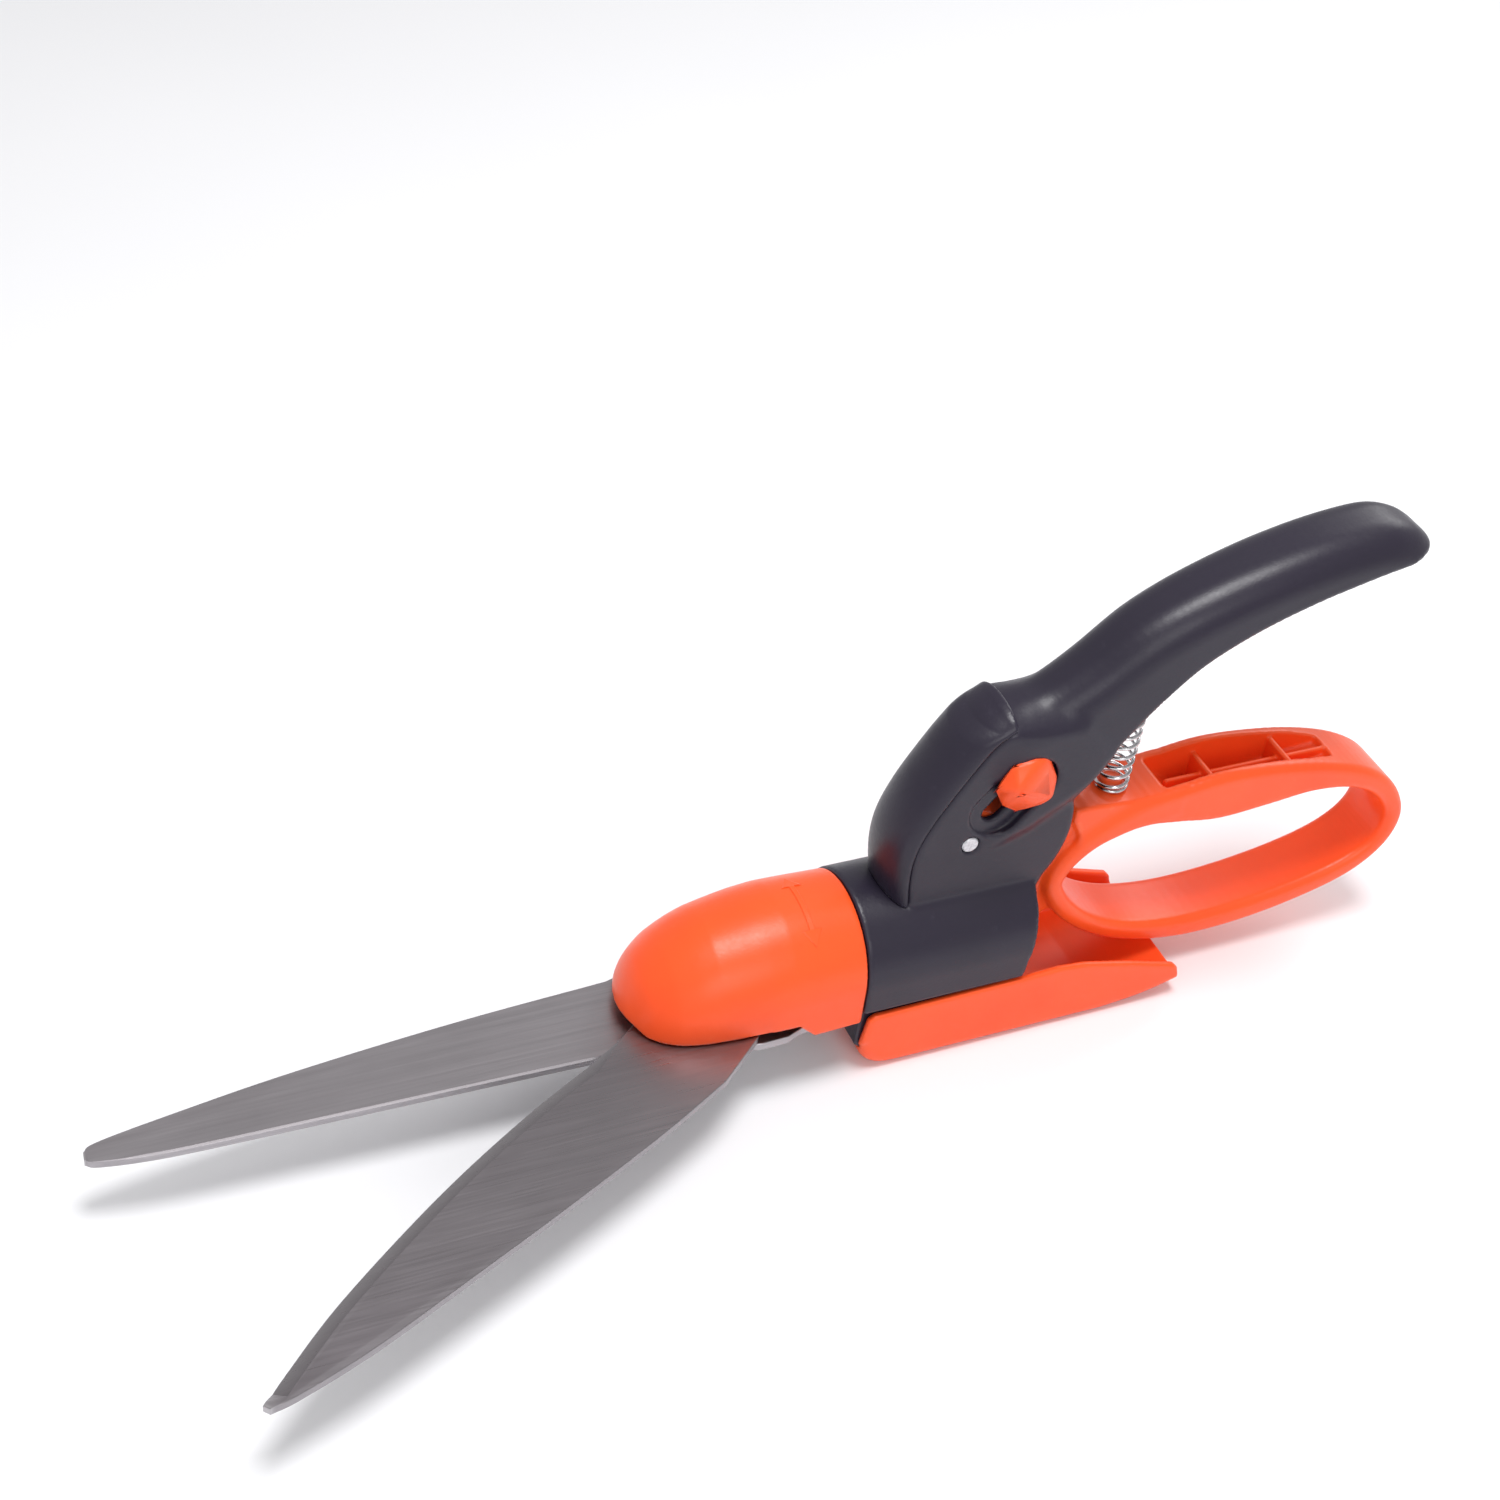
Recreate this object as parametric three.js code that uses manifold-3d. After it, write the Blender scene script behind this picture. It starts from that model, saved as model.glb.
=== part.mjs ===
// Grass shears with a turning head, worked with one hand. Millimetres, +Z up.
// +X runs along the tool to the blade tips, +Y is the user's left, and the origin lies on the skid's flat
// underside, straight below the tool's own axis. The shears lie open, with the head upright.
import * as THREE from "three";
import { mergeVertices } from "three/addons/utils/BufferGeometryUtils.js";
import Module from "manifold-3d";

const wasm = await Module();
wasm.setup();

// ---- driving dimensions -------------------------------------------------------------------------------
const AXIS_Z = 28.6; // height of the axis that the head turns about
const SEAM_X = 47; // where the head meets the sleeve
const SLEEVE_R = 18.8;
const SLEEVE_REAR_X = 2;
const SLEEVE_WALL = 2.4;
const SLEEVE_STEP_Z = 20.8; // the sleeve is drawn in below this, to sit inside the skid
const SKID_HALF = 19.2;
const SKID_WALL = 2;
const SKID_FLOOR = 2.6;
const CHEEK_HALF = 9.4; // half the thickness of the flat cheeks
const POCKET_HALF = 6.6; // half the slot between the cheeks
const LEVER_HALF = 5.8;
const PIN_X = 20.3; // the lever's pivot pin
const PIN_Z = 62;
const PIN_R = 2.2;
const CHEEK_ARC_R = 28.2; // the cheeks end on an arc about the pin
const LOOP_HALF = 9;
const DOME_WALL = 2.2;
const DOME_NOSE_X = 105.3;
const RIM_Z = 22.4;
const COLLAR_Z = 17.8;
const BORE_R = 13.4; // bearing in the sleeve for the head's spigot
const SPIGOT_R = 13;
const BULKHEAD_X = 31; // rear face of the solid front part of the sleeve
const PIVOT_X = 77.3; // blade pivot
const BLADE_T = 2.2;
const FIXED_TOP_Z = 19.5;
const MOVING_TOP_Z = 22;
const BLADE_SWING = THREE.MathUtils.degToRad(31);
const LEVER_SWING = THREE.MathUtils.degToRad(16);
const ROD_TRAVEL = (PIN_Z - AXIS_Z) * Math.sin(LEVER_SWING);
const DRIVE_OPEN = 9; // from the blade pivot back to the drive pin, blades open
const DRIVE_PIN_R = 1.9;
const DRIVE_X = PIVOT_X - DRIVE_OPEN;
const BUTTON_X = DRIVE_X - 4; // middle of the pull rod's round button
const ROD_PIN_R = 1.8;
const BOLT_R = 2.9; // blade pivot bolt
const SCREW_X = 53; // the two screws that hold the fixed blade to the carrier
const SCREW_Y = [-9, 9];
const SPRING_X = -23.4; // axis of the return spring
const SEAT_Z = 62.4; // top of the spring seat
const SPRING_R = 4; // middle of the wire
const SPRING_TOP_Z = 92;
const SPRING_TURNS = 9;
const WIRE_R = 0.5;
const LOCK_DIR = [-0.64, 0.768]; // the lock slides along this line in side view
const LOCK_REST = [8.6, 79.4];
const LOCK_TRAVEL = 9;
const LOCK_STEM_R = 2.2;
const DETENT_X = 38.5; // click stop under the spigot
const SKID_SCREWS = [[39.5, 10], [39.5, -10], [9, 11.5], [9, -11.5]];
const GAP = 0.3;
const ROUND = 24; // sides of a round solid

// ---- materials ----------------------------------------------------------------------------------------
const FINISHES = {
  black: { color: 0x2c2a33, roughness: 0.5, metalness: 0 },
  orange: { color: 0xff5722, roughness: 0.42, metalness: 0 },
  blade: { color: 0x8a8688, roughness: 0.35, metalness: 1 },
  steel: { color: 0xb4b6ba, roughness: 0.3, metalness: 1 },
};

// ---- geometry helpers ---------------------------------------------------------------------------------
const AXES = {
  x: new THREE.Matrix4().makeBasis(
    new THREE.Vector3(0, 1, 0), new THREE.Vector3(0, 0, 1), new THREE.Vector3(1, 0, 0)),
  y: new THREE.Matrix4().makeBasis(
    new THREE.Vector3(0, 0, 1), new THREE.Vector3(1, 0, 0), new THREE.Vector3(0, 1, 0)),
  z: new THREE.Matrix4(),
};

function solid(geometry) {
  const bare = geometry.index ? geometry.toNonIndexed() : geometry.clone();
  bare.deleteAttribute("normal");
  bare.deleteAttribute("uv");
  const merged = mergeVertices(bare, 1e-4);
  const mesh = new wasm.Mesh({
    numProp: 3,
    vertProperties: new Float32Array(merged.attributes.position.array),
    triVerts: new Uint32Array(merged.index.array),
  });
  return new wasm.Manifold(mesh);
}

function join(first, ...rest) {
  return rest.reduce((sum, item) => sum.add(item), first);
}

function cut(body, ...tools) {
  return tools.reduce((left, tool) => left.subtract(tool), body);
}

function box(x0, x1, y0, y1, z0, z1) {
  const shape = new THREE.BoxGeometry(x1 - x0, y1 - y0, z1 - z0);
  shape.translate((x0 + x1) / 2, (y0 + y1) / 2, (z0 + z1) / 2);
  return solid(shape);
}

// A disc or bar: radius r, its centre line along the named axis from a to b, through the other two values.
function rod(axis, r, a, b, u, v, sides = ROUND) {
  const shape = new THREE.CylinderGeometry(r, r, b - a, sides);
  shape.rotateX(Math.PI / 2);
  shape.translate(0, 0, (a + b) / 2);
  shape.applyMatrix4(AXES[axis]);
  const shift = { x: [0, u, v], y: [u, 0, v], z: [u, v, 0] }[axis];
  shape.translate(...shift);
  return solid(shape);
}

// A flat outline pushed from a to b along the named axis.
// The outline's two numbers are (y, z) along x, (x, z) along y and (x, y) along z.
function pushed(axis, outline, a, b) {
  const shape = new THREE.Shape(outline.map(([u, v]) => new THREE.Vector2(u, v)));
  const body = new THREE.ExtrudeGeometry(shape, { depth: b - a, bevelEnabled: false });
  body.translate(0, 0, a);
  if (axis === "x") body.applyMatrix4(AXES.x);
  if (axis === "y") {
    body.rotateX(Math.PI / 2);
    body.scale(1, -1, 1);
    flip(body);
  }
  return solid(body);
}

// Turns every face of a geometry round.
function flip(geometry) {
  const p = geometry.attributes.position;
  for (let i = 0; i < p.count; i += 3) {
    const [x, y, z] = [p.getX(i), p.getY(i), p.getZ(i)];
    p.setXYZ(i, p.getX(i + 1), p.getY(i + 1), p.getZ(i + 1));
    p.setXYZ(i + 1, x, y, z);
  }
}

// Even points on a smooth curve through a few given ones.
function smooth(points, count) {
  const curve = new THREE.SplineCurve(points.map(([u, v]) => new THREE.Vector2(u, v)));
  return curve.getSpacedPoints(count).map((p) => [p.x, p.y]);
}

// A closed skin over rings of points, all with the same count; the ends are capped, or joined if closed.
function loft(rings, closed = false) {
  const size = rings[0].length;
  const positions = [];
  const face = (a, b, c) => [a, b, c].forEach((p) => positions.push(p.x, p.y, p.z));
  const last = closed ? rings.length : rings.length - 1;
  for (let i = 0; i < last; i += 1) {
    const near = rings[i];
    const far = rings[(i + 1) % rings.length];
    for (let j = 0; j < size; j += 1) {
      const k = (j + 1) % size;
      face(near[j], near[k], far[j]);
      face(near[k], far[k], far[j]);
    }
  }
  const cap = (ring, turned) => {
    const middle = ring.reduce((sum, p) => sum.add(p), new THREE.Vector3()).divideScalar(size);
    ring.forEach((p, j) => {
      const q = ring[(j + 1) % size];
      if (turned) face(middle, p, q);
      else face(middle, q, p);
    });
  };
  if (!closed) {
    cap(rings[0], false);
    cap(rings[rings.length - 1], true);
  }
  const geometry = new THREE.BufferGeometry();
  geometry.setAttribute("position", new THREE.Float32BufferAttribute(positions, 3));
  const body = solid(geometry);
  if (body.volume() > 0) return body;
  flip(geometry);
  return solid(geometry);
}

const parts = new THREE.Group();

function node(name, body, finish) {
  const data = body.getMesh();
  const geometry = new THREE.BufferGeometry();
  geometry.setAttribute("position", new THREE.BufferAttribute(data.vertProperties, 3));
  geometry.setIndex(new THREE.BufferAttribute(data.triVerts, 1));
  geometry.computeVertexNormals();
  const mesh = new THREE.Mesh(geometry, new THREE.MeshStandardMaterial(FINISHES[finish]));
  mesh.name = name;
  parts.add(mesh);
}

// ---- the nose dome ------------------------------------------------------------------------------------
// Sections of the dome: x, half-width and height of the centre. It is a barrel whose round nose droops.
const DOME_ROWS = [
  [47, 18.5, 28.6], [54, 18.75, 28.6], [62, 19, 28.6], [66, 19.05, 28.6], [72, 19, 28], [78, 18.7, 27.2],
  [84, 18.2, 26.4], [88, 17.7, 25.3], [91, 17.1, 24.4], [94, 16.3, 23.5], [96, 15.4, 22.9], [98, 14.2, 22.4],
  [100, 12.6, 22], [101.5, 10.9, 21.6], [103, 8.5, 21.2], [104.2, 6, 20.9], [105, 3.2, 20.8],
  [DOME_NOSE_X, 1.2, 20.7],
];
const DOME_STRAIGHT_X = 62; // behind this the walls drop straight down
const DOME_TUCKED_X = 72; // ahead of this they tuck in below the widest point

function domeRing([rowX, half, middleZ], inset) {
  const share = (rowX - SEAM_X) / (DOME_NOSE_X - SEAM_X);
  const x = rowX - inset * Math.pow(share, 4);
  const r = Math.max(0.5, half - inset);
  const tuck = THREE.MathUtils.mapLinear(
    THREE.MathUtils.clamp(rowX, DOME_STRAIGHT_X, DOME_TUCKED_X), DOME_STRAIGHT_X, DOME_TUCKED_X, 0.25, 0.8);
  return Array.from({ length: 40 }, (none, i) => {
    const angle = (Math.PI * i) / 20;
    const power = i <= 20 ? 1 : tuck;
    const [across, up] = [Math.cos(angle), Math.sin(angle)]
      .map((value) => Math.sign(value) * Math.pow(Math.abs(value), power));
    return new THREE.Vector3(x, r * across, middleZ + r * up);
  });
}

function domeSolid(inset, rearX) {
  const rows = [[rearX, ...DOME_ROWS[0].slice(1)], ...DOME_ROWS.slice(1)];
  return loft(rows.map((row) => domeRing(row, inset)));
}

function noseDome() {
  const hollow = domeSolid(DOME_WALL, SEAM_X - 1);
  const shell = cut(domeSolid(0, SEAM_X + GAP), hollow);
  const step = [[40, 0], [40, COLLAR_Z], [60, COLLAR_Z], [64.5, RIM_Z], [150, RIM_Z], [150, 0]];
  const arch = [[101, RIM_Z - 2], [101, RIM_Z], [103.4, RIM_Z + 1.2], [120, RIM_Z + 4], [120, RIM_Z - 2]];
  const bladeRoom = box(48, 66, -17.6, 17.6, COLLAR_Z - 1, FIXED_TOP_Z + GAP);
  return cut(shell, pushed("y", step, -40, 40), pushed("y", arch, -40, 40), bladeRoom);
}

// ---- the blades ---------------------------------------------------------------------------------------
const FIXED_CUT = [[104, 11.3], [140, 10.4], [180, 9.5], [213, 8.6], [228, 6.8], [232, 5.2]];
const FIXED_BACK = [[231.6, 3], [228, 1], [211, -2], [183, -6], [143, -9.8], [103, -12]];
const FIXED_ROOT = [
  [92, -15], [80, -16.6], [58, -16.4], [51, -13.6], [49.2, -8], [49.2, 8], [51, 13.6], [56, 16.4],
  [63, 17], [67, 18.6], [74, 18.8], [82, 17.2], [92, 13.2],
];

// The moving blade is drawn closed, pointing along +X from its pivot, and turned open afterwards.
const MOVING_CUT = [[30.5, -7.5], [60, -9.6], [91, -10], [125, -7], [146, -2.4], [155, 0.3]];
const MOVING_BACK = [[154.9, 2.4], [148, 4.6], [130, 8.4], [104, 11.8], [76, 15.2], [46, 18.2], [24, 19.4]];
const TAIL_LENGTH = 21.5;
const TAIL = [
  [8, 17], [-4, 11.5], [-14, 7], [-TAIL_LENGTH, 4], [-TAIL_LENGTH, -4], [-14, -7], [0, -10], [16, -9],
];

function fixedBlade() {
  const outline = [...smooth(FIXED_CUT, 12), ...smooth(FIXED_BACK, 12), ...FIXED_ROOT];
  const plate = pushed("z", outline, FIXED_TOP_Z - BLADE_T, FIXED_TOP_Z);
  const holes = SCREW_Y.map((y) => rod("z", 2, 0, 30, SCREW_X, y, 14));
  return cut(plate, rod("z", BOLT_R + 0.4, 0, 30, PIVOT_X, 0), ...holes);
}

// The drive pin's path in the closed blade: it moves straight back while the blade turns evenly.
function drivePath(count) {
  return Array.from({ length: count + 1 }, (none, i) => {
    const t = i / count;
    const back = DRIVE_OPEN + ROD_TRAVEL * t;
    const angle = BLADE_SWING * (1 - t);
    return [-back * Math.cos(angle), back * Math.sin(angle)];
  });
}

function movingBlade() {
  const outline = [...smooth(MOVING_CUT, 12), ...smooth(MOVING_BACK, 14), ...TAIL];
  const [low, high] = [MOVING_TOP_Z - BLADE_T, MOVING_TOP_Z];
  const plate = pushed("z", outline, low, high);
  const path = drivePath(6);
  const slotHalf = DRIVE_PIN_R + GAP;
  const track = path.map(([x, y]) => rod("z", slotHalf, low - 1, high + 1, x, y, 16));
  const links = path.slice(1).map(([x, y], i) => {
    const [px, py] = path[i];
    const length = Math.hypot(x - px, y - py);
    const nx = (-(y - py) / length) * slotHalf;
    const ny = ((x - px) / length) * slotHalf;
    const strip = [[px - nx, py - ny], [x - nx, y - ny], [x + nx, y + ny], [px + nx, py + ny]];
    return pushed("z", strip, low - 1, high + 1);
  });
  const bored = cut(plate, rod("z", 4.3, low - 1, high + 1, 0, 0), ...track, ...links);
  return bored.rotate([0, 0, THREE.MathUtils.radToDeg(BLADE_SWING)]).translate([PIVOT_X, 0, 0]);
}

node("nose_dome", noseDome(), "orange");
node("fixed_blade", fixedBlade(), "blade");
node("moving_blade", movingBlade(), "blade");

// ---- blade pivot --------------------------------------------------------------------------------------
const PIVOT_HOLE = rod("z", BOLT_R + 0.35, 0, 40, PIVOT_X, 0);
const BOLT_HEAD_Z = MOVING_TOP_Z + 1.8;
const BOLT_END_Z = 11.8;
const NUT_TOP_Z = FIXED_TOP_Z - BLADE_T - GAP;
const HEX = 6; // sides of the bolt's head and the nut
const bush = rod("z", 4, FIXED_TOP_Z + GAP, MOVING_TOP_Z + 0.2, PIVOT_X, 0);
const washer = rod("z", 6.5, MOVING_TOP_Z + 0.5, MOVING_TOP_Z + 1.5, PIVOT_X, 0);
const boltShank = rod("z", BOLT_R, BOLT_END_Z, BOLT_HEAD_Z + 1, PIVOT_X, 0);
const boltHead = rod("z", 5, BOLT_HEAD_Z, BOLT_HEAD_Z + 3.2, PIVOT_X, 0, HEX);
const nut = rod("z", 5, NUT_TOP_Z - 4, NUT_TOP_Z, PIVOT_X, 0, HEX);
node("pivot_bush", cut(bush, PIVOT_HOLE), "steel");
node("pivot_washer", cut(washer, PIVOT_HOLE), "steel");
node("pivot_bolt", boltShank.add(boltHead), "steel");
node("pivot_locknut", cut(nut, PIVOT_HOLE), "steel");

// ---- head carrier and its fastenings ------------------------------------------------------------------
const CARRIER_FOOT_Z = FIXED_TOP_Z + GAP;
const BLADE_UNDER_Z = FIXED_TOP_Z - BLADE_T;
function headCarrier() {
  const foot = box(SEAM_X + 0.6, 55.2, -12.4, 12.4, CARRIER_FOOT_Z, AXIS_Z + 9.6);
  const spigot = rod("x", SPIGOT_R, 26, SEAM_X + 1.2, 0, AXIS_Z, 32);
  const core = rod("x", SPIGOT_R - 1.2, 27, 31, 0, AXIS_Z, 32);
  const groove = cut(rod("x", SPIGOT_R + 1, 28, 30.2, 0, AXIS_Z, 32), core);
  const dimple = rod("z", 1.8, AXIS_Z - 14, AXIS_Z - 12, DETENT_X, 0, 12);
  const screwHoles = SCREW_Y.map((y) => rod("z", 1.65, 10, 31, SCREW_X - 0.6, y, 14));
  const sliderRoom = box(SEAM_X + 4.4, 60, -6, 6, AXIS_Z - 5.4, AXIS_Z + 5.7);
  return cut(foot.add(spigot), rod("x", 3.2, 20, 70, 0, AXIS_Z), groove, dimple, sliderRoom, ...screwHoles);
}
node("head_carrier", headCarrier(), "black");

SCREW_Y.forEach((y, i) => {
  const shank = rod("z", 1.35, BLADE_UNDER_Z - 1, 29.5, SCREW_X - 0.6, y, 12);
  const head = rod("z", 3, BLADE_UNDER_Z - GAP - 1.8, BLADE_UNDER_Z - GAP, SCREW_X - 0.6, y, 16);
  node("blade_screw_" + (i + 1), shank.add(head), "steel");
});

function retainingRing() {
  const disc = rod("x", 15.6, 28.5, 29.9, 0, AXIS_Z, 32);
  const ring = cut(disc, rod("x", SPIGOT_R - 0.8, 20, 40, 0, AXIS_Z, 32));
  return cut(ring, box(20, 40, -4, 4, AXIS_Z - 20, AXIS_Z));
}
node("retaining_ring", retainingRing(), "steel");

// ---- drive: slider, pin and pull rod ------------------------------------------------------------------
function driveSlider() {
  const block = box(DRIVE_X - 7, DRIVE_X + 3.4, -5.5, 5.5, MOVING_TOP_Z + 1.8, AXIS_Z + 5);
  const buttonSlot = box(BUTTON_X - 1.6, BUTTON_X + 1.6, -4.4, 4.4, AXIS_Z - 4.4, AXIS_Z + 9);
  const stemSlot = box(DRIVE_X - 9, BUTTON_X, -2.4, 2.4, AXIS_Z - 2.4, AXIS_Z + 9);
  const pinHole = rod("z", DRIVE_PIN_R + GAP, 10, 29.5, DRIVE_X, 0, 16);
  return cut(block, buttonSlot, stemSlot, pinHole);
}
node("drive_slider", driveSlider(), "steel");
node("drive_pin", rod("z", DRIVE_PIN_R, MOVING_TOP_Z - BLADE_T + 0.1, 29, DRIVE_X, 0, 16), "steel");

function pullRod() {
  const stem = rod("x", 2, PIN_X + 2, BUTTON_X, 0, AXIS_Z, 16);
  const button = rod("x", 4, BUTTON_X - 1.2, BUTTON_X + 1.2, 0, AXIS_Z, ROUND);
  const eye = box(PIN_X - 5, PIN_X + 5, -1.8, 1.8, AXIS_Z - 5.4, AXIS_Z + 6.4);
  const slot = box(PIN_X - 2.2, PIN_X + 2.2, -5, 5, AXIS_Z - 2.4, AXIS_Z + 3.8);
  return cut(join(stem, button, eye), slot);
}
node("pull_rod", pullRod(), "steel");
node("rod_pin", rod("y", ROD_PIN_R, -LEVER_HALF + 0.2, LEVER_HALF - 0.2, PIN_X, AXIS_Z, 16), "steel");

// ---- the trigger lever: a finger loop, a spring seat and an arm ---------------------------------------
// Middle of the loop's band in side view, and half its thickness there.
const LOOP = [
  [-8.6, 38, 2.6], [-9.6, 44.5, 2.7], [-14.2, 50.4, 2.9], [-21, 54.8, 3.3], [-30, 58, 4.2], [-42, 58.4, 6],
  [-54, 58.2, 7.6], [-68, 58.2, 6.6], [-82, 57.8, 4.9], [-95, 55, 3.7], [-105.6, 49.4, 3.2],
  [-112.2, 41.6, 3], [-114, 34.4, 3], [-111, 26.8, 3.1], [-103, 20.6, 3.3], [-89.5, 16.2, 3.5],
  [-72, 13.1, 3.6], [-54, 12.3, 3.5], [-38, 14.8, 3.1], [-25, 20.2, 2.8], [-14.6, 28.6, 2.7],
];

function loopBand() {
  const points = LOOP.map(([x, z]) => new THREE.Vector3(x, 0, z));
  const middle = new THREE.CatmullRomCurve3(points, true, "centripetal");
  const steps = LOOP.length * 2;
  const rings = Array.from({ length: steps }, (none, i) => {
    const t = i / steps;
    const place = middle.getPoint(t);
    const along = middle.getTangent(t);
    const out = new THREE.Vector3(-along.z, 0, along.x);
    const spot = (t * LOOP.length) % LOOP.length;
    const low = Math.floor(spot);
    const half = THREE.MathUtils.lerp(LOOP[low][2], LOOP[(low + 1) % LOOP.length][2], spot - low);
    return bandRing(place, out, half);
  });
  return loft(rings, true);
}

// The band's section at one place: a rectangle with rounded corners.
function bandRing(place, out, half) {
  const corner = Math.min(2.6, half - 0.1);
  const ring = [];
  [[1, 1], [-1, 1], [-1, -1], [1, -1]].forEach(([sideY, sideOut], quarter) => {
    [0.12, 0.5, 0.88].forEach((part) => {
      const angle = (quarter + part) * (Math.PI / 2);
      const y = sideY * (LOOP_HALF - corner) + corner * Math.cos(angle);
      const v = sideOut * (half - corner) + corner * Math.sin(angle);
      ring.push(place.clone().addScaledVector(out, v).add(new THREE.Vector3(0, y, 0)));
    });
  });
  return ring;
}

const POCKET_TOP = [[-36, 70], [-36, 60.5], [-46, 54.6], [-60, 53.8], [-78, 56.4], [-88, 58.6], [-92, 70]];
const RIB_XS = [-51.5, -74.5];
const STUD_R = 2.9; // round studs that hold the ends of the return spring
function triggerLever() {
  const seatSide = [
    [-9.8, 60], [-9.8, 63.6], [-13, 64], [-34, SEAT_Z], [-40, 62.6], [-40, 57], [-24, 54], [-14, 52],
  ];
  const seat = pushed("y", seatSide, -7.6, 7.6);
  const armSide = [
    [28, 62], [27.4, 66], [24, 69.4], [19, 70], [13.5, 67.4], [4, 66], [-10, 63], [-14, 58], [-9, 48],
    [-9, 38], [-12, 31], [-7, 27.5], [4, 25], [15.5, 24.4], [24.8, 24.4], [25.4, 30], [25.4, 44], [27.2, 56],
  ];
  const arm = pushed("y", armSide, -LEVER_HALF, LEVER_HALF);
  const stud = rod("z", STUD_R, 60, 65.6, SPRING_X, 0, 16);
  const fork = box(PIN_X - 18, PIN_X + 12, -2.3, 2.3, 20, AXIS_Z + 9);
  const pinHole = rod("y", PIN_R + 0.25, -20, 20, PIN_X, PIN_Z);
  const rodPinHole = rod("y", ROD_PIN_R + 0.25, -20, 20, PIN_X, AXIS_Z, 16);
  const pocket = pushed("y", POCKET_TOP, -5.6, 5.6);
  const ribs = RIB_XS.map((x) => box(x - 0.8, x + 0.8, -6.6, 6.6, 53, 60.4));
  const spine = box(-88, -40, -0.8, 0.8, 54, 60.6).intersect(pushed("y", POCKET_TOP, -3, 3));
  const ribbed = join(cut(join(loopBand(), arm, seat), pocket), ...ribs, spine, stud);
  return cut(ribbed, fork, pinHole, rodPinHole);
}
node("trigger_lever", triggerLever(), "orange");
node("pivot_pin", rod("y", PIN_R, -CHEEK_HALF + 0.1, CHEEK_HALF - 0.1, PIN_X, PIN_Z), "steel");

// ---- return spring ------------------------------------------------------------------------------------
class Coil extends THREE.Curve {
  getPoint(t, target = new THREE.Vector3()) {
    const angle = t * SPRING_TURNS * Math.PI * 2;
    const low = SEAT_Z + 1.2 + WIRE_R;
    const z = THREE.MathUtils.lerp(low, SPRING_TOP_Z, t);
    return target.set(SPRING_X + SPRING_R * Math.cos(angle), SPRING_R * Math.sin(angle), z);
  }
}
function coilSpring() {
  const wire = new THREE.Shape();
  wire.absarc(0, 0, WIRE_R, 0, Math.PI * 2);
  const sweep = { steps: 108, curveSegments: 3, bevelEnabled: false, extrudePath: new Coil() };
  return solid(new THREE.ExtrudeGeometry(wire, sweep));
}
node("return_spring", coilSpring(), "steel");

// ---- the housing: sleeve, cheeks and upper handle in one moulding --------------------------------------
const CREASE = [
  [34.2, 44.7], [35.3, 55.5], [34.6, 63.5], [31.7, 71.4], [27.4, 79.3], [22.7, 87], [18.6, 92.6], [13.6, 96],
];
// Upper handle: [ridge x, ridge z, rim x, rim z, half-width] from the neck to the end.
const HANDLE = [
  [17, 96, 6, 66, 9.4], [9.5, 99, -8, 76, 9.4], [3, 101, -13, 81.5, 9.4], [-6.2, 107.6, -18, 88.4, 9.7],
  [-17.5, 117, -25, 97.4, 10.2], [-29.4, 123.4, -34, 106, 10.6], [-44.4, 129, -47.2, 113.6, 10.9],
  [-60, 133.2, -61, 119.2, 11], [-73, 135.4, -73, 122.8, 11], [-82, 135.6, -80.6, 125, 10.8],
  [-88.5, 134, -86.6, 126.2, 10.3], [-93, 131.2, -91, 127.4, 8.8], [-95.2, 129, -93.8, 128, 5.6],
];

// The handle's section: an upside-down U over the rim line, drawn in by an inset and let down by a drop.
function handleRing([x, z, rimX, rimZ, half], inset, drop) {
  const height = Math.hypot(x - rimX, z - rimZ);
  const up = new THREE.Vector3((x - rimX) / height, 0, (z - rimZ) / height);
  const rim = new THREE.Vector3(rimX, 0, rimZ);
  const reach = height - inset;
  const ring = [];
  const arc = 10;
  for (let i = 0; i <= arc; i += 1) {
    const angle = (Math.PI * i) / arc;
    const y = (half - inset) * Math.sign(Math.cos(angle)) * Math.pow(Math.abs(Math.cos(angle)), 0.75);
    const v = reach * (0.35 + 0.65 * Math.pow(Math.sin(angle), 0.75));
    ring.push(rim.clone().addScaledVector(up, v).add(new THREE.Vector3(0, y, 0)));
  }
  [-1, 1].forEach((side) => {
    const y = side * (half - inset) * 0.97;
    ring.push(rim.clone().addScaledVector(up, -drop).add(new THREE.Vector3(0, y, 0)));
  });
  return ring;
}

const HANDLE_WALL = 2.6;
function handleBody() {
  const outer = loft(HANDLE.map((row) => handleRing(row, 0, 0)));
  const hollow = loft(HANDLE.slice(1, -3).map((row) => handleRing(row, HANDLE_WALL, 4)));
  return { outer, hollow };
}

// U-shaped section of the sleeve: a round top and straight sides, drawn in as it enters the skid.
function sleeveSection(inset, floorZ) {
  const r = SLEEVE_R - inset;
  const top = Array.from({ length: 21 }, (none, i) => {
    const angle = (Math.PI * i) / 20;
    return [r * Math.cos(angle), AXIS_Z + r * Math.sin(angle)];
  });
  const foot = SKID_HALF - SKID_WALL - GAP - inset;
  const left = [[-r, SLEEVE_STEP_Z], [-foot, SLEEVE_STEP_Z], [-foot, floorZ]];
  const right = [[foot, floorZ], [foot, SLEEVE_STEP_Z], [r, SLEEVE_STEP_Z]];
  return [...top, ...left, ...right];
}

function lockSpot(distance) {
  return LOCK_REST.map((value, i) => value - LOCK_DIR[i] * distance);
}

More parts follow.
